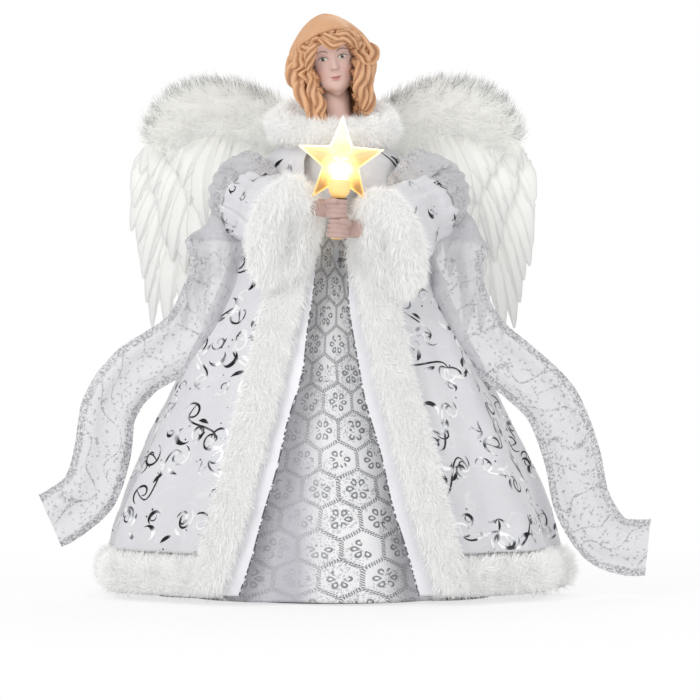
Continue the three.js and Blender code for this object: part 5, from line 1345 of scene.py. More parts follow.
# The down over the wing's top edge, and the longer grey barbs that stand out of its crest.
def makeDown(side, which):
    s, b = downSizes, barbSizes
    centre = smoothCurve([[wingSizes["reach"] * out, 0, wingSizes["top"] + s["lift"] * rise - s["sink"]]
                          for out, rise in s["stops"]], s["stations"])
    centre[:, 1] = s["level"]
    way = unit(np.gradient(centre, axis=0))
    up = unit(np.cross(yAxis, way))
    up[up[:, 2] < 0] *= -1
    swell = along(s["swell"], np.linspace(0, 1, s["stations"]))
    halfDeep, halfUp = s["tube"]
    angle = roundTurn(s["sides"])
    rings = [wingPoint(side, ellipseRing(place, yAxis, high, halfDeep * size, halfUp * size, s["sides"]))
             for place, high, size in zip(centre, up, swell)]
    furred = [np.clip(0.5 + 0.6 * np.sin(angle) - 0.5 * np.cos(angle), 0.12, 1)] * s["stations"]
    body = "wing_%s" % which
    makeFur("wing_down_%s_pile" % which, rings, False, furred, s, 61 + side, ["wing_down_%s" % which], "down",
            side, body, "down")
    crest = [place + high * halfUp * size * b["up"] for place, high, size in zip(centre, up, swell)]
    rings = [wingPoint(side, ellipseRing(place, yAxis, high, *b["tube"], b["sides"]))
             for place, high in zip(crest, up)]
    makeFur("wing_barbs_%s" % which, rings, False, np.ones((s["stations"], b["sides"])), b, 71 + side, [],
            "barb", side, body, "down")


for side, which in ((-1, "right"), (1, "left")):
    makeFeathers(side, which, np.random.default_rng(50 + side))
    makeDown(side, which)
print("stage: wings")


# Head: a plain calm doll's face, painted
headSizes = {"centre": (-1.5, -3, 282.8), "height": 39, "halfWidth": 14.5, "face": 17, "nape": 17,
             "rows": 190, "columns": 240, "pitch": 7.0, "tilt": -10.0, "turn": 5.0,
             "neckRows": 60, "neckSides": 64}
headShares = {"width": [0.2, 0.56, 0.79, 0.91, 0.97, 1, 0.99, 0.9, 0.64, 0.06],
              "face": [0.66, 0.84, 0.85, 0.86, 0.87, 0.9, 0.9, 0.8, 0.55, 0.05],
              "nape": [-0.3, 0, 0.42, 0.72, 0.9, 1, 1, 0.9, 0.62, 0.05]}
faceSizes = {"eyeApart": 5.2, "eye": 0.2, "brow": 3.7, "nose": -5.2, "mouth": -10.0, "chin": -15.5,
             "mouthHalf": 2.7}


def turned(axis, degrees):
    c, s = math.cos(math.radians(degrees)), math.sin(math.radians(degrees))
    return {"x": np.array([[1, 0, 0], [0, c, -s], [0, s, c]]),
            "y": np.array([[c, 0, s], [0, 1, 0], [-s, 0, c]]),
            "z": np.array([[c, -s, 0], [s, c, 0], [0, 0, 1]])}[axis]


headTurn = turned("z", headSizes["turn"]) @ turned("y", headSizes["tilt"]) @ turned("x", headSizes["pitch"])


def fromHead(local):
    return np.asarray(local, float) @ headTurn.T + np.array(headSizes["centre"])


# A point of the head's smooth form, at a rise from 0 to 1 and an angle from the face.
def headPoint(rise, angle, offset=0.0):
    z = (rise - 0.5) * headSizes["height"]
    halfWidth = headSizes["halfWidth"] * along(headShares["width"], rise) + offset
    front = headSizes["face"] * along(headShares["face"], rise) + offset
    back = headSizes["nape"] * along(headShares["nape"], rise) + offset
    middle, halfDepth = (back - front) / 2, (back + front) / 2
    return np.stack(np.broadcast_arrays(halfWidth * np.sin(angle), middle - halfDepth * np.cos(angle), z), -1)


def spot(x, z, atX, atZ, wide, high):
    return np.exp(-((x - atX) / wide) ** 2 - ((z - atZ) / high) ** 2)


def between(z, low, high, soft):
    return smoothRise(z, low - soft, low + soft) * (1 - smoothRise(z, high - soft, high + soft))


# A thin painted line along the height `at`, where `half` bounds the distance `x` from its middle.
def line(x, z, half, at, wide):
    return (np.abs(x) < half) * np.exp(-((z - at) / wide) ** 2)


def blend(colours, amount, name):
    return colours + (np.array(skinTones[name]) - colours) * np.clip(amount, 0, 1)[..., None]


# How far the face stands out of the head's smooth form.
def faceLift(x, z):
    f = faceSizes
    lift = np.zeros(x.shape)
    for ex, ez in ((-f["eyeApart"], f["eye"]), (f["eyeApart"], f["eye"])):
        lift += -1.0 * spot(x, z, ex, ez + 0.2, 3.2, 2.2) + 0.95 * spot(x, z, ex, ez, 2.1, 1.25)
        lift += 0.35 * spot(x, z, ex, f["brow"], 3.4, 1.1)
        lift += 0.5 * spot(x, z, ex * 1.35, f["nose"] - 1, 3.6, 3.4)
    bridge = 1 - smoothRise(z, f["nose"] + 0.6, f["eye"] + 3.6) * 0.9
    bridge = smoothRise(z, f["nose"] - 1.0, f["nose"] + 0.6) * bridge
    lift += 2.9 * bridge * np.exp(-(x / (1.25 + 0.6 * bridge)) ** 2)
    lift += 0.7 * (spot(x, z, -1.5, f["nose"] + 0.1, 0.8, 0.8) + spot(x, z, 1.5, f["nose"] + 0.1, 0.8, 0.8))
    lift += 0.65 * spot(x, z, 0, f["mouth"] + 0.65, 2.3, 0.55)
    lift += 0.8 * spot(x, z, 0, f["mouth"] - 0.75, 1.9, 0.65)
    lift -= 0.35 * spot(x, z, 0, f["mouth"], 2.6, 0.22) + 0.25 * spot(x, z, 0, f["mouth"] + 1.9, 0.5, 0.8)
    lift += 0.8 * spot(x, z, 0, f["chin"], 3.4, 2.2) - 0.4 * spot(x, z, 0, f["mouth"] - 2.4, 2.6, 0.8)
    corners = spot(x, z, -2.9, f["mouth"] + 0.1, 0.6, 0.6) + spot(x, z, 2.9, f["mouth"] + 0.1, 0.6, 0.6)
    return lift - 0.3 * corners


# Cheek, lid, eye, lash, creases and brow of one side.
def paintEye(colours, x, z, front, side):
    f = faceSizes
    ex, ez = side * f["eyeApart"], f["eye"]
    colours = blend(colours, 0.55 * front * spot(x, z, side * 7.4, f["nose"] - 1.6, 3.6, 3.2), "blush")
    colours = blend(colours, 0.35 * front * spot(x, z, ex, ez + 1.7, 2.9, 1.0), "lid")
    within = ((x - ex) / 2.55) ** 2
    upper, lower = ez + 1.0 * (1 - within) + 0.12, ez - 0.75 * (1 - within)
    shown = (within < 1) * between(z, lower, upper, 0.12) * front
    colours = blend(colours, shown, "white")
    iris = 1 - smoothRise(np.hypot(x - ex + 0.1, z - ez - 0.12), 0.8, 1.02)
    colours = blend(colours, iris * shown, "dark")
    glint = 1 - smoothRise(np.hypot(x - ex - 0.2, z - ez - 0.5), 0.16, 0.3)
    colours = blend(colours, shown * glint, "white")
    colours = blend(colours, line(x - ex, z, 2.8, upper + 0.08, 0.24) * front * 1.1, "dark")
    colours = blend(colours, line(x - ex, z, 2.5, lower - 0.08, 0.13) * front * 0.55, "brow")
    colours = blend(colours, line(x - ex, z, 2.6, upper + 0.95, 0.16) * front * 0.5, "brow")
    run = np.clip((x * side - 2.4) / 6.2, 0, 1)
    arch = f["brow"] + 1.25 * np.sin(np.pi * run ** 0.8) - 0.2
    brow = ((x * side > 2.4) & (x * side < 8.6)) * np.exp(-((z - arch) / (0.34 - 0.16 * run)) ** 2) * front
    return blend(colours, brow * 0.95, "brow")


def paintMouth(colours, x, z, front):
    mouth, nose, half = faceSizes["mouth"], faceSizes["nose"], faceSizes["mouthHalf"]
    parting = mouth + 0.05 + 0.28 * np.abs(x) / half
    top = mouth + 1.15 * np.sqrt(np.clip(1 - (x / half) ** 2, 0, 1)) - 0.35 * np.exp(-(x / 0.5) ** 2)
    low = mouth - 1.35 * np.sqrt(np.clip(1 - (x / (half * 0.85)) ** 2, 0, 1))
    colours = blend(colours, (np.abs(x) < half) * between(z, low, top, 0.2) * front * 0.8, "lip")
    colours = blend(colours, line(x, z, half, parting, 0.16) * front * 0.6, "brow")
    nostrils = spot(x, z, -0.95, nose - 0.75, 0.35, 0.3) + spot(x, z, 0.95, nose - 0.75, 0.35, 0.3)
    return blend(colours, 0.35 * front * nostrils, "brow")


def makeHead():
    s = headSizes
    rise = np.linspace(0, 1, s["rows"])[:, None]
    u = np.linspace(-1, 1, s["columns"], endpoint=False)[None, :]
    angle = np.pi * np.sign(u) * (0.42 * np.abs(u) + 0.58 * np.abs(u) ** 2.2)
    grid = headPoint(rise, angle)
    x, z = grid[..., 0], grid[..., 2]
    front = smoothRise(np.cos(angle), 0.2, 0.6) * np.ones_like(rise)
    grid = grid + outwardNormals(grid) * (faceLift(x, z) * front)[..., None]
    colours = np.ones(x.shape + (3,)) * np.array(skinTones["skin"])
    for side in (-1, 1):
        colours = paintEye(colours, x, z, front, side)
    colours = paintMouth(colours, x, z, front)
    faces = gridFaces(s["rows"], s["columns"], True)[:, ::-1]
    face = makeMesh("face", fromHead(grid.reshape(-1, 3)), faces, None, {"paint": colours.reshape(-1, 3)})
    turnOut(face)
    rings = np.array([ellipseRing(at, xAxis, yAxis, wide, deep, s["neckSides"])
                      for at, wide, deep in neckRings])
    t = np.linspace(0, 1, s["neckRows"])
    neck = ringsObject("neck", np.stack([curveAt(rings[:, j], t) for j in range(s["neckSides"])], 1))
    made, tree, shader = newMaterial("painted china skin")
    feed(tree, shader, Base_Color=attribute(tree, "paint", "Color"),
         Normal=bump(tree, speckle(tree, place(tree), 900, 2), 0.00004, 0.4))
    setBase(shader, rough=0.42, Specular_IOR_Level=0.35)
    finishPiece(face, made, "figure", "skin_paint", "head")
    finishPiece(neck, finish["neck"], "figure", "skin_paint")


# The neck's rings from inside the head down to the shoulders: middle, half its width and half its depth.
neckRings = [(np.array(headSizes["centre"]) + [0, 3, -10.5], 7.4, 7.4), ((0, 0, 262), 8.6, 8.0),
             ((0.4, -0.6, 253), 9.0, 8.4), ((0.4, -1, 247.5), 10.6, 9.0), ((-1.5, 0, 242.8), 14.4, 10),
             ((0, 0, 238), 20, 12.5)]
makeHead()
print("stage: head")


# Moulded hair: a smooth crown cap, waved bangs, side masses and loose curls
hairSizes = {"halfWidth": 22.3, "dome": 0.5, "domePower": 1.65, "domeRound": 0.58, "halfDepth": 20.5,
             "low": -33, "nape": -23, "top": 21.7, "rows": 150, "columns": 300, "opening": 10.8,
             "openLevel": -1.14, "openLow": 8.4, "edge": 3.4, "seam": 14.4, "seamBow": 0.02, "seamMiddle": 2,
             "bangPitch": 3.3, "sidePitch": 4.1, "waveHeight": 3.0, "waveLow": -1.5, "thickness": 0.8,
             "widths": [0.4, 0.54, 0.7, 0.84, 0.94, 1, 1, 1, 1, 1, 1],
             "depths": [0.62, 0.72, 0.82, 0.9, 0.95, 1, 1.01, 1.05, 1.14, 1.25, 1.26]}


# The attribute crease darkens the hair towards brown-black: painted shade in its grooves.
def hairFinish():
    made, tree, shader = newMaterial("moulded hair")
    streak = speckle(tree, place(tree), 260.0, 3.0)
    base = ramp(tree, attribute(tree, "crease"), [(0.0, (0.75, 0.44, 0.25)), (0.4, (0.55, 0.26, 0.115)),
                                                  (1.0, (0.20, 0.06, 0.018))])
    feed(tree, shader, Base_Color=mixed(tree, times(tree, streak, 0.5), base, (0.78, 0.48, 0.29)),
         Normal=bump(tree, streak, 0.0003, 0.5))
    setBase(shader, rough=0.5, Specular_IOR_Level=0.35)
    return made


# The hair's mass, its waves run by `bangs` in front and by the sides' own sway elsewhere.
def makeHair():
    s = hairSizes
    t = np.linspace(0, 1, s["rows"])[:, None]
    angle = np.linspace(-np.pi, np.pi, s["columns"], endpoint=False)[None, :]
    low = s["low"] + (s["nape"] - s["low"]) * np.clip(-np.cos(angle), 0, 1)
    z = low + (s["top"] - low) * t
    level = np.clip((z - s["low"]) / (s["top"] - s["low"]), 0, 1)
    crownRise = np.clip(level - 1 + s["dome"], 0, 1) / s["dome"]
    dome = np.clip(1 - crownRise ** s["domePower"], 0.0004, 1) ** s["domeRound"]
    lobe = (1 + 0.055 * np.sin(9 * angle + 1.3 * np.sin(9 * t)) * (1 - t ** 3)) * dome
    halfWidth = s["halfWidth"] * along(s["widths"], level) * lobe
    halfDepth = s["halfDepth"] * along(s["depths"], level) * lobe
    grid = np.stack([halfWidth * np.sin(angle), 1.5 - halfDepth * np.cos(angle), z], -1)
    x, front = grid[..., 0], np.cos(angle) * np.ones_like(t)
    seam = s["seam"] - s["seamBow"] * (x - s["seamMiddle"]) ** 2
    blur = 0.5 + 6.5 * (1 - smoothRise(front, 0.25, 0.62))
    cap = smoothRise(z, seam - blur, seam + blur)
    bangs = smoothRise(front, 0.3, 0.75) * smoothRise(z, 4.0, 7.0) * (1 - cap)
    runBangs = (z + 2.1 * np.sin(0.42 * x + 0.8) + 0.7 * np.sin(0.95 * x)) / s["bangPitch"] * 2 * np.pi
    sway = 0.3 + 0.7 * smoothRise(front, -0.5, 0.3)
    swayed = angle * 21 + sway * (2.3 * np.sin(z * 0.42 + angle * 2) + 0.9 * np.sin(z * 0.93))
    runSides = swayed / s["sidePitch"] * 2 * np.pi
    ridge = np.abs(np.cos(runBangs / 2)) ** 0.7 * bangs
    ridge = ridge + np.abs(np.cos(runSides / 2)) ** 0.7 * (1 - bangs)
    fine = 0.5 + 0.5 * np.sin(np.where(bangs > 0.5, runBangs * 4, runSides * 4))
    crown = 0.5 + 0.5 * np.sin(angle * 46 + 3 * np.sin(z * 0.35))
    waved = np.maximum((ridge - 0.62) * s["waveHeight"], s["waveLow"]) + fine * 0.22
    inFront = smoothRise(front, 0.35, 0.6)
    lift = waved * (1 - cap) + (0.45 + 0.12 * crown) * cap - 1.0 * np.exp(-((z - seam) / 0.4) ** 2) * inFront
    # crease is painted shade: darker in the grooves between the waves and in the cap's fine lines, along the
    # seam and, further down, where the hair is drawn onto the face.
    crease = np.clip(1.15 - 1.25 * ridge - 0.1 * fine, 0, 1) * (1 - cap) + (0.08 + 0.13 * (1 - crown)) * cap
    crease = np.clip(crease + 0.85 * np.exp(-((z - seam) / 0.32) ** 2) * inFront, 0, 1)
    grid = grid + outwardNormals(grid) * lift[..., None]
    narrowing = (s["openLow"] - s["opening"]) * np.clip((s["openLevel"] - z) / 12, 0, 1)
    within = np.where(z > s["openLevel"], np.hypot(x, z - s["openLevel"]) - s["opening"],
                      np.abs(x) - (s["opening"] + narrowing))
    within = np.where(front > 0.2, within + 0.8 * np.sin(1.1 * x + 0.9 * z), 99)
    head = headPoint(np.clip(z / headSizes["height"] + 0.5, 0, 1), angle, -1.2)
    onto = 1 - np.sqrt(np.clip(smoothRise(within, -0.3, s["edge"]), 0, 1))
    grid = grid + (np.stack([grid[..., 0], head[..., 1], grid[..., 2]], -1) - grid) * onto[..., None]
    crease = np.clip(crease + 0.45 * onto, 0, 1)
    faces = gridFaces(s["rows"], s["columns"], True)
    gone = (within.ravel()[faces] < -0.4).all(axis=1)
    made = makeMesh("hair_waves", fromHead(grid.reshape(-1, 3)), faces[~gone], None,
                    {"crease": crease.ravel()})
    turnOut(made)
    finishPiece(made, finish["hair"], "figure", "hair_paint", "hair")
    thicken(made, s["thickness"], -1)


curlSizes = {"stations": 54, "sides": 26, "strands": 4, "groove": 0.16, "flat": 0.75}


# Each curl: its path in the head's own frame, its thickness, its turns of twist.
curls = [
    ([(-18, -6, -6), (-19.5, -11, -13), (-16.5, -14, -20), (-14, -15, -26), (-11, -16, -31), (-9, -15, -34)],
     4.2, 2.2),
    ([(-12.5, -13, -8), (-13.5, -17, -15), (-11, -18, -21), (-11.5, -17, -27), (-8.5, -17, -32)], 3.2, 2.6),
    ([(-17, -3, 2), (-20.5, -6, -4), (-19.5, -9, -11), (-16.5, -11, -17)], 4.5, 1.6),
    ([(13.5, -12, -4), (12.5, -17, -11), (11, -18, -17), (12.5, -17, -23), (11.5, -16, -29)], 3.4, 2.6),
    ([(16, -7, -2), (15.5, -13, -10), (14, -15, -17), (14.5, -14, -24), (12.5, -14, -30), (11.5, -15, -31)],
     4.2, 2.2),
    ([(15.5, -4, 8), (18.5, -7, 3), (21.5, -8, -1), (20, -10, -5), (17.5, -10, -6)], 3.4, 1.5),
    ([(-6, -20, 12), (0, -21.5, 8), (6, -21.5, 10), (11, -19.5, 8), (14, -16.5, 3)], 2.5, 2.4),
    ([(-8, -20, 10), (-11, -19, 6), (-12.5, -17.5, 1), (-14, -15.5, -4)], 2.5, 1.8),
    ([(-4, -21, 13.5), (3, -22, 11.2), (9, -20.5, 12.5), (14, -17, 8)], 2.4, 2.2),
]


def makeCurls():
    s = curlSizes
    t = np.linspace(0, 1, s["stations"])
    angle = roundTurn(s["sides"])
    for number, (path, thick, turns) in enumerate(curls, 1):
        centre = smoothCurve(path, s["stations"])
        way = unit(np.gradient(centre, axis=0))
        aside = unit(np.cross(way, [0, 1.0, 0.2]))
        up = np.cross(aside, way)
        radius = thick * np.sin(np.pi * (0.1 + 0.86 * t)) ** 0.6
        strands = np.cos(s["strands"] * (angle[None, :] + t[:, None] * turns * 2.2))
        reach = radius[:, None] * (1 + s["groove"] * strands + 0.03 * np.cos(11 * angle)[None, :])
        rings = (centre[:, None] + aside[:, None] * (reach * np.cos(angle))[..., None]
                 + up[:, None] * (reach * np.sin(angle) * s["flat"])[..., None])
        # crease darkens the grooves between each curl's strands: painted shade.
        made = ringsObject("hair_curl_%d" % number, fromHead(rings), False,
                           {"crease": np.clip(0.42 - 0.6 * strands, 0, 1)})
        finishPiece(made, finish["hair"], "figure", "hair_paint")


napeSizes = {"centre": (3.5, 9, 259), "across": 13.5, "deep": 5.0, "up": 15.0, "rows": 30, "sides": 40,
             "crease": 0.8}


# The hair's mass behind the neck, darkened all over through crease as painted shade.
def makeNape():
    s = napeSizes
    rings = [ellipseRing(np.array(s["centre"]) + [0, 0, s["up"] * math.cos(a)], xAxis, yAxis,
                         s["across"] * math.sin(a), s["deep"] * math.sin(a), s["sides"])
             for a in np.linspace(0.04, np.pi - 0.04, s["rows"])]
    made = ringsObject("hair_nape", rings, False, {"crease": np.full((s["rows"], s["sides"]), s["crease"])})
    finishPiece(made, finish["hair"], "figure", "hair_paint")


finish["hair"] = hairFinish()
makeHair()
makeCurls()
makeNape()
print("stage: hair")


# Hands round the candle, and the candle, lamp and star on the grip's own axis
gripSizes = {"centre": (2.6, -58, 198.3), "lean": 3.0, "fist": 9.8, "wrap": 4.75, "finger": 1.42,
             "pitch": 2.45, "floors": {-1: 0.15, 1: -9.95},
             "fingers": [0.85, 1, 1.05, 0.98, 1.04, 0.95, 0.9, 0.8, 0.45],
             "wrist": (17.0, -47, 204.3), "cell": 0.26, "smoothing": 2}


def fromGrip(local):
    return np.asarray(local, float) @ turned("y", gripSizes["lean"]).T + np.array(gripSizes["centre"])


def limbObject(name, path, radius, shares, count=18, stations=26, squash=1.0):
    centre = smoothCurve(path, stations)
    way = unit(np.gradient(centre, axis=0))
    aside = unit(np.cross(way, [0.02, 0.05, 1.0]))
    up = np.cross(aside, way)
    reach = radius * along(shares, np.linspace(0, 1, stations))
    rings = [ellipseRing(centre[k], aside[k] * squash, up[k], reach[k], reach[k], count)
             for k in range(stations)]
    return ringsObject(name, fromGrip(rings))


# One skin over the pieces, which are removed.
def merged(name, pieces, cell, rounds):
    shape = bmesh.new()
    for piece in pieces:
        shape.from_mesh(piece.data)
        bpy.data.objects.remove(piece)
    mesh = bpy.data.meshes.new(name)
    shape.to_mesh(mesh)
    shape.free()
    made = linked(name, mesh)
    joined = made.modifiers.new("joined", "REMESH")
    joined.mode = "VOXEL"
    joined.voxel_size = cell * 0.001
    joined.use_smooth_shade = True
    soft = made.modifiers.new("soft", "SMOOTH")
    soft.iterations = rounds
    soft.factor = 0.5
    return baked(made)


def makeHand(side, which):
    g = gripSizes
    wrap, finger, pitch, middle = g["wrap"], g["finger"], g["pitch"], g["floors"][side] + g["fist"] / 2
    pieces = []
    for i in range(4):
        z = g["floors"][side] + pitch * (i + 0.5)
        stops = np.radians(np.linspace(-150, 92 - 9 * i, 9)) * -side
        path = [(wrap * math.sin(a), -wrap * math.cos(a), z) for a in stops]
        pieces.append(limbObject("finger", path, finger * 1.04, g["fingers"]))
    knuckle, heel = np.array([side * wrap * 0.55, wrap * 0.75, middle]), np.array([side * 13.0, 4.0, middle])
    palm = [knuckle, (knuckle + heel) / 2, heel]
    thumb = [(side * (wrap + finger), wrap * 0.3, middle + pitch),
             (side * wrap * 0.9, -wrap * 0.75, middle + pitch * 1.5),
             (side * wrap * 0.1, -wrap - finger * 1.6, middle + pitch * 1.6)]
    wrist = (np.array(g["wrist"]) * [side, 1, 1] - np.array(g["centre"])) @ turned("y", g["lean"])
    forearm = [heel - [side * 3.0, 0, 0], (heel + wrist) / 2, wrist]
    pieces += [limbObject("palm", palm, 4.6, [0.7, 0.95, 1, 0.95, 0.75], 24, 20, 0.55),
               limbObject("thumb", thumb, finger * 1.25, [0.9, 1.05, 1, 0.95, 0.5]),
               limbObject("forearm", forearm, 3.8, [0.9, 1, 1, 0.95])]
    hand = merged("hand_%s_skin" % which, pieces, g["cell"], g["smoothing"])
    shadeSmooth(hand.data)
    finishPiece(hand, finish["hand"], "figure", "skin_paint", "hand_%s" % which)


# A turned form round the grip's axis, from (radius, height) pairs.
def latheObject(name, profile):
    return ringsObject(name, fromGrip([ellipseRing([0, 0, h], xAxis, yAxis, r, r, 48) for r, h in profile]))


# How far a point of the piece is from the lamp, in metres.
def lampDistance(tree):
    lamp = tuple(toWorld(fromGrip([0, 0, starSizes["lamp"]])))
    away = put(tree, "ShaderNodeVectorMath", {"operation": "DISTANCE"}, i0=place(tree), i1=lamp)
    return away.outputs["Value"]


# A glowing finish, for the lamp's own light and for the candle's painted glow from the lamp; `near` is the
# glow's colour close to the lamp, if it changes.
def glowFinish(name, colour, glow, strength, rough=0.35, near=None):
    made, tree, shader = newMaterial(name)
    dark = tuple(c * 0.92 for c in colour)
    feed(tree, shader, Base_Color=mixed(tree, speckle(tree, place(tree), 260, 2), dark, colour))
    setBase(shader, rough=rough, Emission_Color=tuple(glow) + (1,), Emission_Strength=strength)
    if near:
        feed(tree, shader, Emission_Color=ramp(tree, times(tree, lampDistance(tree), 1000 / 20.0),
                                               [(0.2, near), (0.75, glow)]))
    return made


starSizes = {"centre": 29.416, "reach": 23.4, "notch": 9.8, "halfDepth": 7.5, "gap": 0.15, "lamp": 24.5,
             "glowReach": 26.0, "paleFrom": -4.0, "paleTo": 12.0, "points": 5}


# Clear moulding with a painted glow from the lamp: amber low down, paler above, with painted streaks of light
# and a painted highlight along its rim.
def starFinish():
    s = starSizes
    made, tree, shader = newMaterial("lit clear star")
    where = place(tree)
    far = times(tree, lampDistance(tree), 1000 / s["glowReach"])
    middle = float(toWorld(fromGrip([0, 0, s["centre"]]))[2])
    rise = put(tree, "ShaderNodeMapRange", None, Value=partsOf(tree, where)[2])
    rise.inputs["From Min"].default_value = middle + s["paleFrom"] * 0.001
    rise.inputs["From Max"].default_value = middle + s["paleTo"] * 0.001
    pale = rise.outputs[0]
    upper = ramp(tree, far, [(0.0, (1.0, 0.97, 0.84)), (0.5, (1.0, 0.95, 0.68)), (1.0, (1.0, 0.92, 0.58))])
    lower = ramp(tree, far, [(0.0, (1.0, 0.94, 0.70)), (0.25, (1.0, 0.80, 0.36)), (0.5, (0.78, 0.52, 0.20)),
                             (1.0, (0.60, 0.42, 0.20))])
    power = ramp(tree, far, [(0.0, (4, 4, 4)), (0.16, (2.2, 2.2, 2.2)), (0.28, (0.5, 0.5, 0.5)),
                             (0.45, (0.08, 0.08, 0.08)), (1.0, (0.03, 0.03, 0.03))])
    rim = put(tree, "ShaderNodeMapRange", None, Value=attribute(tree, "rim"))
    rim.inputs["From Min"].default_value, rim.inputs["From Max"].default_value = 0.86, 0.96
    streak = speckle(tree, where, 260, 3, 0.7)
    lit = plus(tree, times(tree, power, plus(tree, 0.45, times(tree, streak, 0.9))), times(tree, pale, 0.22))
    feed(tree, shader, Emission_Color=mixed(tree, pale, lower, upper),
         Emission_Strength=plus(tree, lit, times(tree, rim.outputs[0], 0.6)),
         Base_Color=mixed(tree, pale, (0.74, 0.54, 0.28), (0.99, 0.95, 0.74)),
         Normal=bump(tree, streak, 0.0006, 0.5))
    setBase(shader, rough=0.05, Transmission_Weight=0.75, IOR=1.49)
    return made


candleSizes = {"seat": 16.1, "barrel": 20.1, "lamp": 28.4, "foot": 10.15}


def makeLight():
    seat, top, tip, foot = (candleSizes[key] for key in ("seat", "barrel", "lamp", "foot"))
    bowl = [(5.6 * math.sin(a), foot + 6.3 * (1 - math.cos(a)) ** 1.15)
            for a in np.linspace(0.6, math.pi / 2, 12)]
    candle = latheObject("candle", [(0.01, -10.6), (2.9, -10.6), (3, -10.2), (3, 10.0), (3.1, foot)] + bowl
                         + [(5.6, top - 0.4), (5.3, top), (3.2, top), (2.9, top - 0.4), (2.9, seat + 0.2),
                            (0.01, seat)])
    # The candle's emission is a painted glow of the lamp's light through it.
    finishPiece(candle, glowFinish("warm candle", (0.93, 0.62, 0.24), (1.0, 0.50, 0.08), 0.34,
                                   near=(1.0, 0.92, 0.62)), "figure", "candle", "candle_socket")
    ring = latheObject("candle_ring", [(3.3, 10.0), (4.3, 10.0), (4.5, 10.35), (4.3, 10.7), (3.3, 10.7)])
    finishPiece(ring, plainFinish("dark ring", (0.10, 0.07, 0.05), 0.5), "figure", "candle")
    lamp = latheObject("lamp", [(0.01, seat + 0.3), (2.5, seat + 0.3), (2.5, top + 0.3), (3.3, top + 0.3),
                                (3.3, top + 1.1), (2.5, top + 1.1), (2.5, tip - 3.2), (2.2, tip - 1.5),
                                (1.3, tip - 0.4), (0.01, tip)])
    finishPiece(lamp, glowFinish("lit lamp", (1.0, 0.92, 0.7), (1.0, 0.86, 0.55), 4.0, 0.2), "figure", "lamp",
                "led_lamp")


# Half a star: its rim's points and notches, the middle of its face and the middle of its flat side.
def makeStar(sign, node, material):
    s = starSizes
    corners = 2 * s["points"]
    steps = np.arange(corners)
    angles = np.pi / 2 + steps * np.pi / s["points"]
    reach = np.where(steps % 2 == 0, s["reach"], s["notch"])
    rim = np.stack([reach * np.cos(angles), np.full(corners, sign * s["gap"]),
                    s["centre"] + reach * np.sin(angles)], -1)
    middles = [[0, sign * s["halfDepth"], s["centre"]], [0, sign * s["gap"], s["centre"]]]
    faces = [[corners, k, (k + 1) % corners] for k in steps]
    faces += [[corners + 1, (k + 1) % corners, k] for k in steps]
    made = makeMesh("%s_shell" % node, fromGrip(np.concatenate([rim, middles])), faces, None,
                    {"rim": np.array([1.0] * corners + [0, 0])})
    shadeSmooth(made.data, False)
    turnOut(made)
    finishPiece(made, material, "star_shade", "star_clear", node)


makeHand(-1, "right")
makeHand(1, "left")
makeLight()
starClear = starFinish()
makeStar(-1, "star_front", starClear)
makeStar(1, "star_back", starClear)
print("stage: hands, candle and star")


# The solids that show as they are
solidFinishes = {"cone_board": "cone", "foam": "foam", "steel": "steel", "padding": "padding",
                 "white_plastic": "white", "cell_wrap": "cell", "lead_sheath": "lead", "satin": "bodice",
                 "robe_satin": "robe", "fur": "plush"}


def paintSolids():
    for name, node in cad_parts.items():
        if node.hide_render or node.type != "MESH":
            continue
        for slot in node.material_slots:
            known = next((solidFinishes[key] for key in solidFinishes
                          if slot.material and key in slot.material.name), "white")
            slot.material = finish["felt" if name.startswith(("wing_plate", "wing_anchor")) else known]


paintSolids()


# Studio
studio = {"world": 0.70, "clear": 0.25, "floorWhite": (0.16, 0.42), "floorHalf": 2500, "floorLevel": -0.3,
          "floorTone": (0.93, 0.93, 0.93), "floorRough": 0.9}
lamps = {"key": ((-0.7, -1.0, 0.95), (0, 0, 0.16), 0.7, 6.2),
         "fill": ((0.95, -0.9, 0.5), (0, 0, 0.16), 0.9, 2.0),
         "rim": ((0.2, 0.9, 1.0), (0, 0, 0.18), 0.7, 4)}  # place, aim, size, power


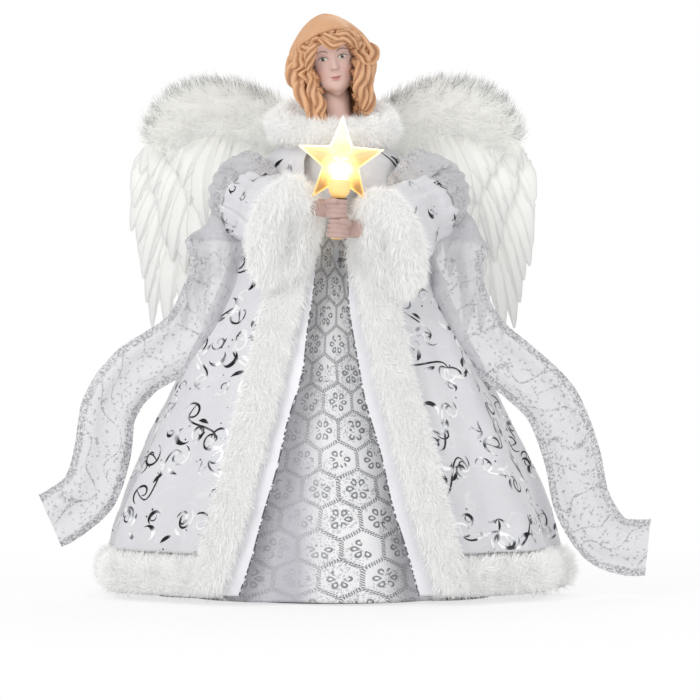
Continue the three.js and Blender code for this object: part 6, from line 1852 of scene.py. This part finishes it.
def mixedShaders(tree, factor, first, second, target):
    both = put(tree, "ShaderNodeMixShader", None, i0=factor)
    tree.links.new(first.outputs[0], both.inputs[1])
    tree.links.new(second.outputs[0], both.inputs[2])
    tree.links.new(both.outputs[0], tree.nodes[target].inputs["Surface"])


# The floor turns into plain white away from the figure, for the camera alone.
def makeFloor():
    made, tree, shader = newMaterial("pale floor")
    setBase(shader, studio["floorTone"], studio["floorRough"])
    flat = vectors(tree, "MULTIPLY", place(tree), (1, 1, 0))
    away = put(tree, "ShaderNodeVectorMath", {"operation": "LENGTH"}, i0=flat).outputs["Value"]
    fade = put(tree, "ShaderNodeMapRange", None, Value=away)
    fade.inputs["From Min"].default_value, fade.inputs["From Max"].default_value = studio["floorWhite"]
    fade.inputs["To Min"].default_value = 1 - studio["clear"]
    white = put(tree, "ShaderNodeEmission", None, Color=(1, 1, 1, 1), Strength=1.0)
    seen = times(tree, tree.nodes.new("ShaderNodeLightPath").outputs["Is Camera Ray"], fade.outputs[0])
    mixedShaders(tree, seen, shader, white, "Material Output")
    half, level = studio["floorHalf"], studio["floorLevel"]
    floor = makeMesh("floor", [[-half, -half, level], [half, -half, level], [half, half, level],
                               [-half, half, level]], [[0, 1, 2, 3]])
    paint(floor, made)


# White to the camera and through clear moulding, softer as a light.
def makeWorld():
    world = bpy.data.worlds.new("studio")
    scene.world = world
    world.use_nodes = True
    tree = world.node_tree
    ground = tree.nodes["Background"]
    ground.inputs["Color"].default_value = (1, 1, 1, 1)
    ground.inputs["Strength"].default_value = studio["world"]
    white = put(tree, "ShaderNodeBackground", None, Color=(1, 1, 1, 1), Strength=1.0)
    ray = tree.nodes.new("ShaderNodeLightPath").outputs
    mixedShaders(tree, sums(tree, "MAXIMUM", ray["Is Camera Ray"], ray["Is Transmission Ray"]), ground, white,
                 "World Output")


placeCamera()
makeFloor()
makeWorld()
for name, (at, aim, size, power) in lamps.items():
    areaLamp(name, at, aim, size, power)
scene.view_settings.view_transform = "Standard"
print("stage: studio")
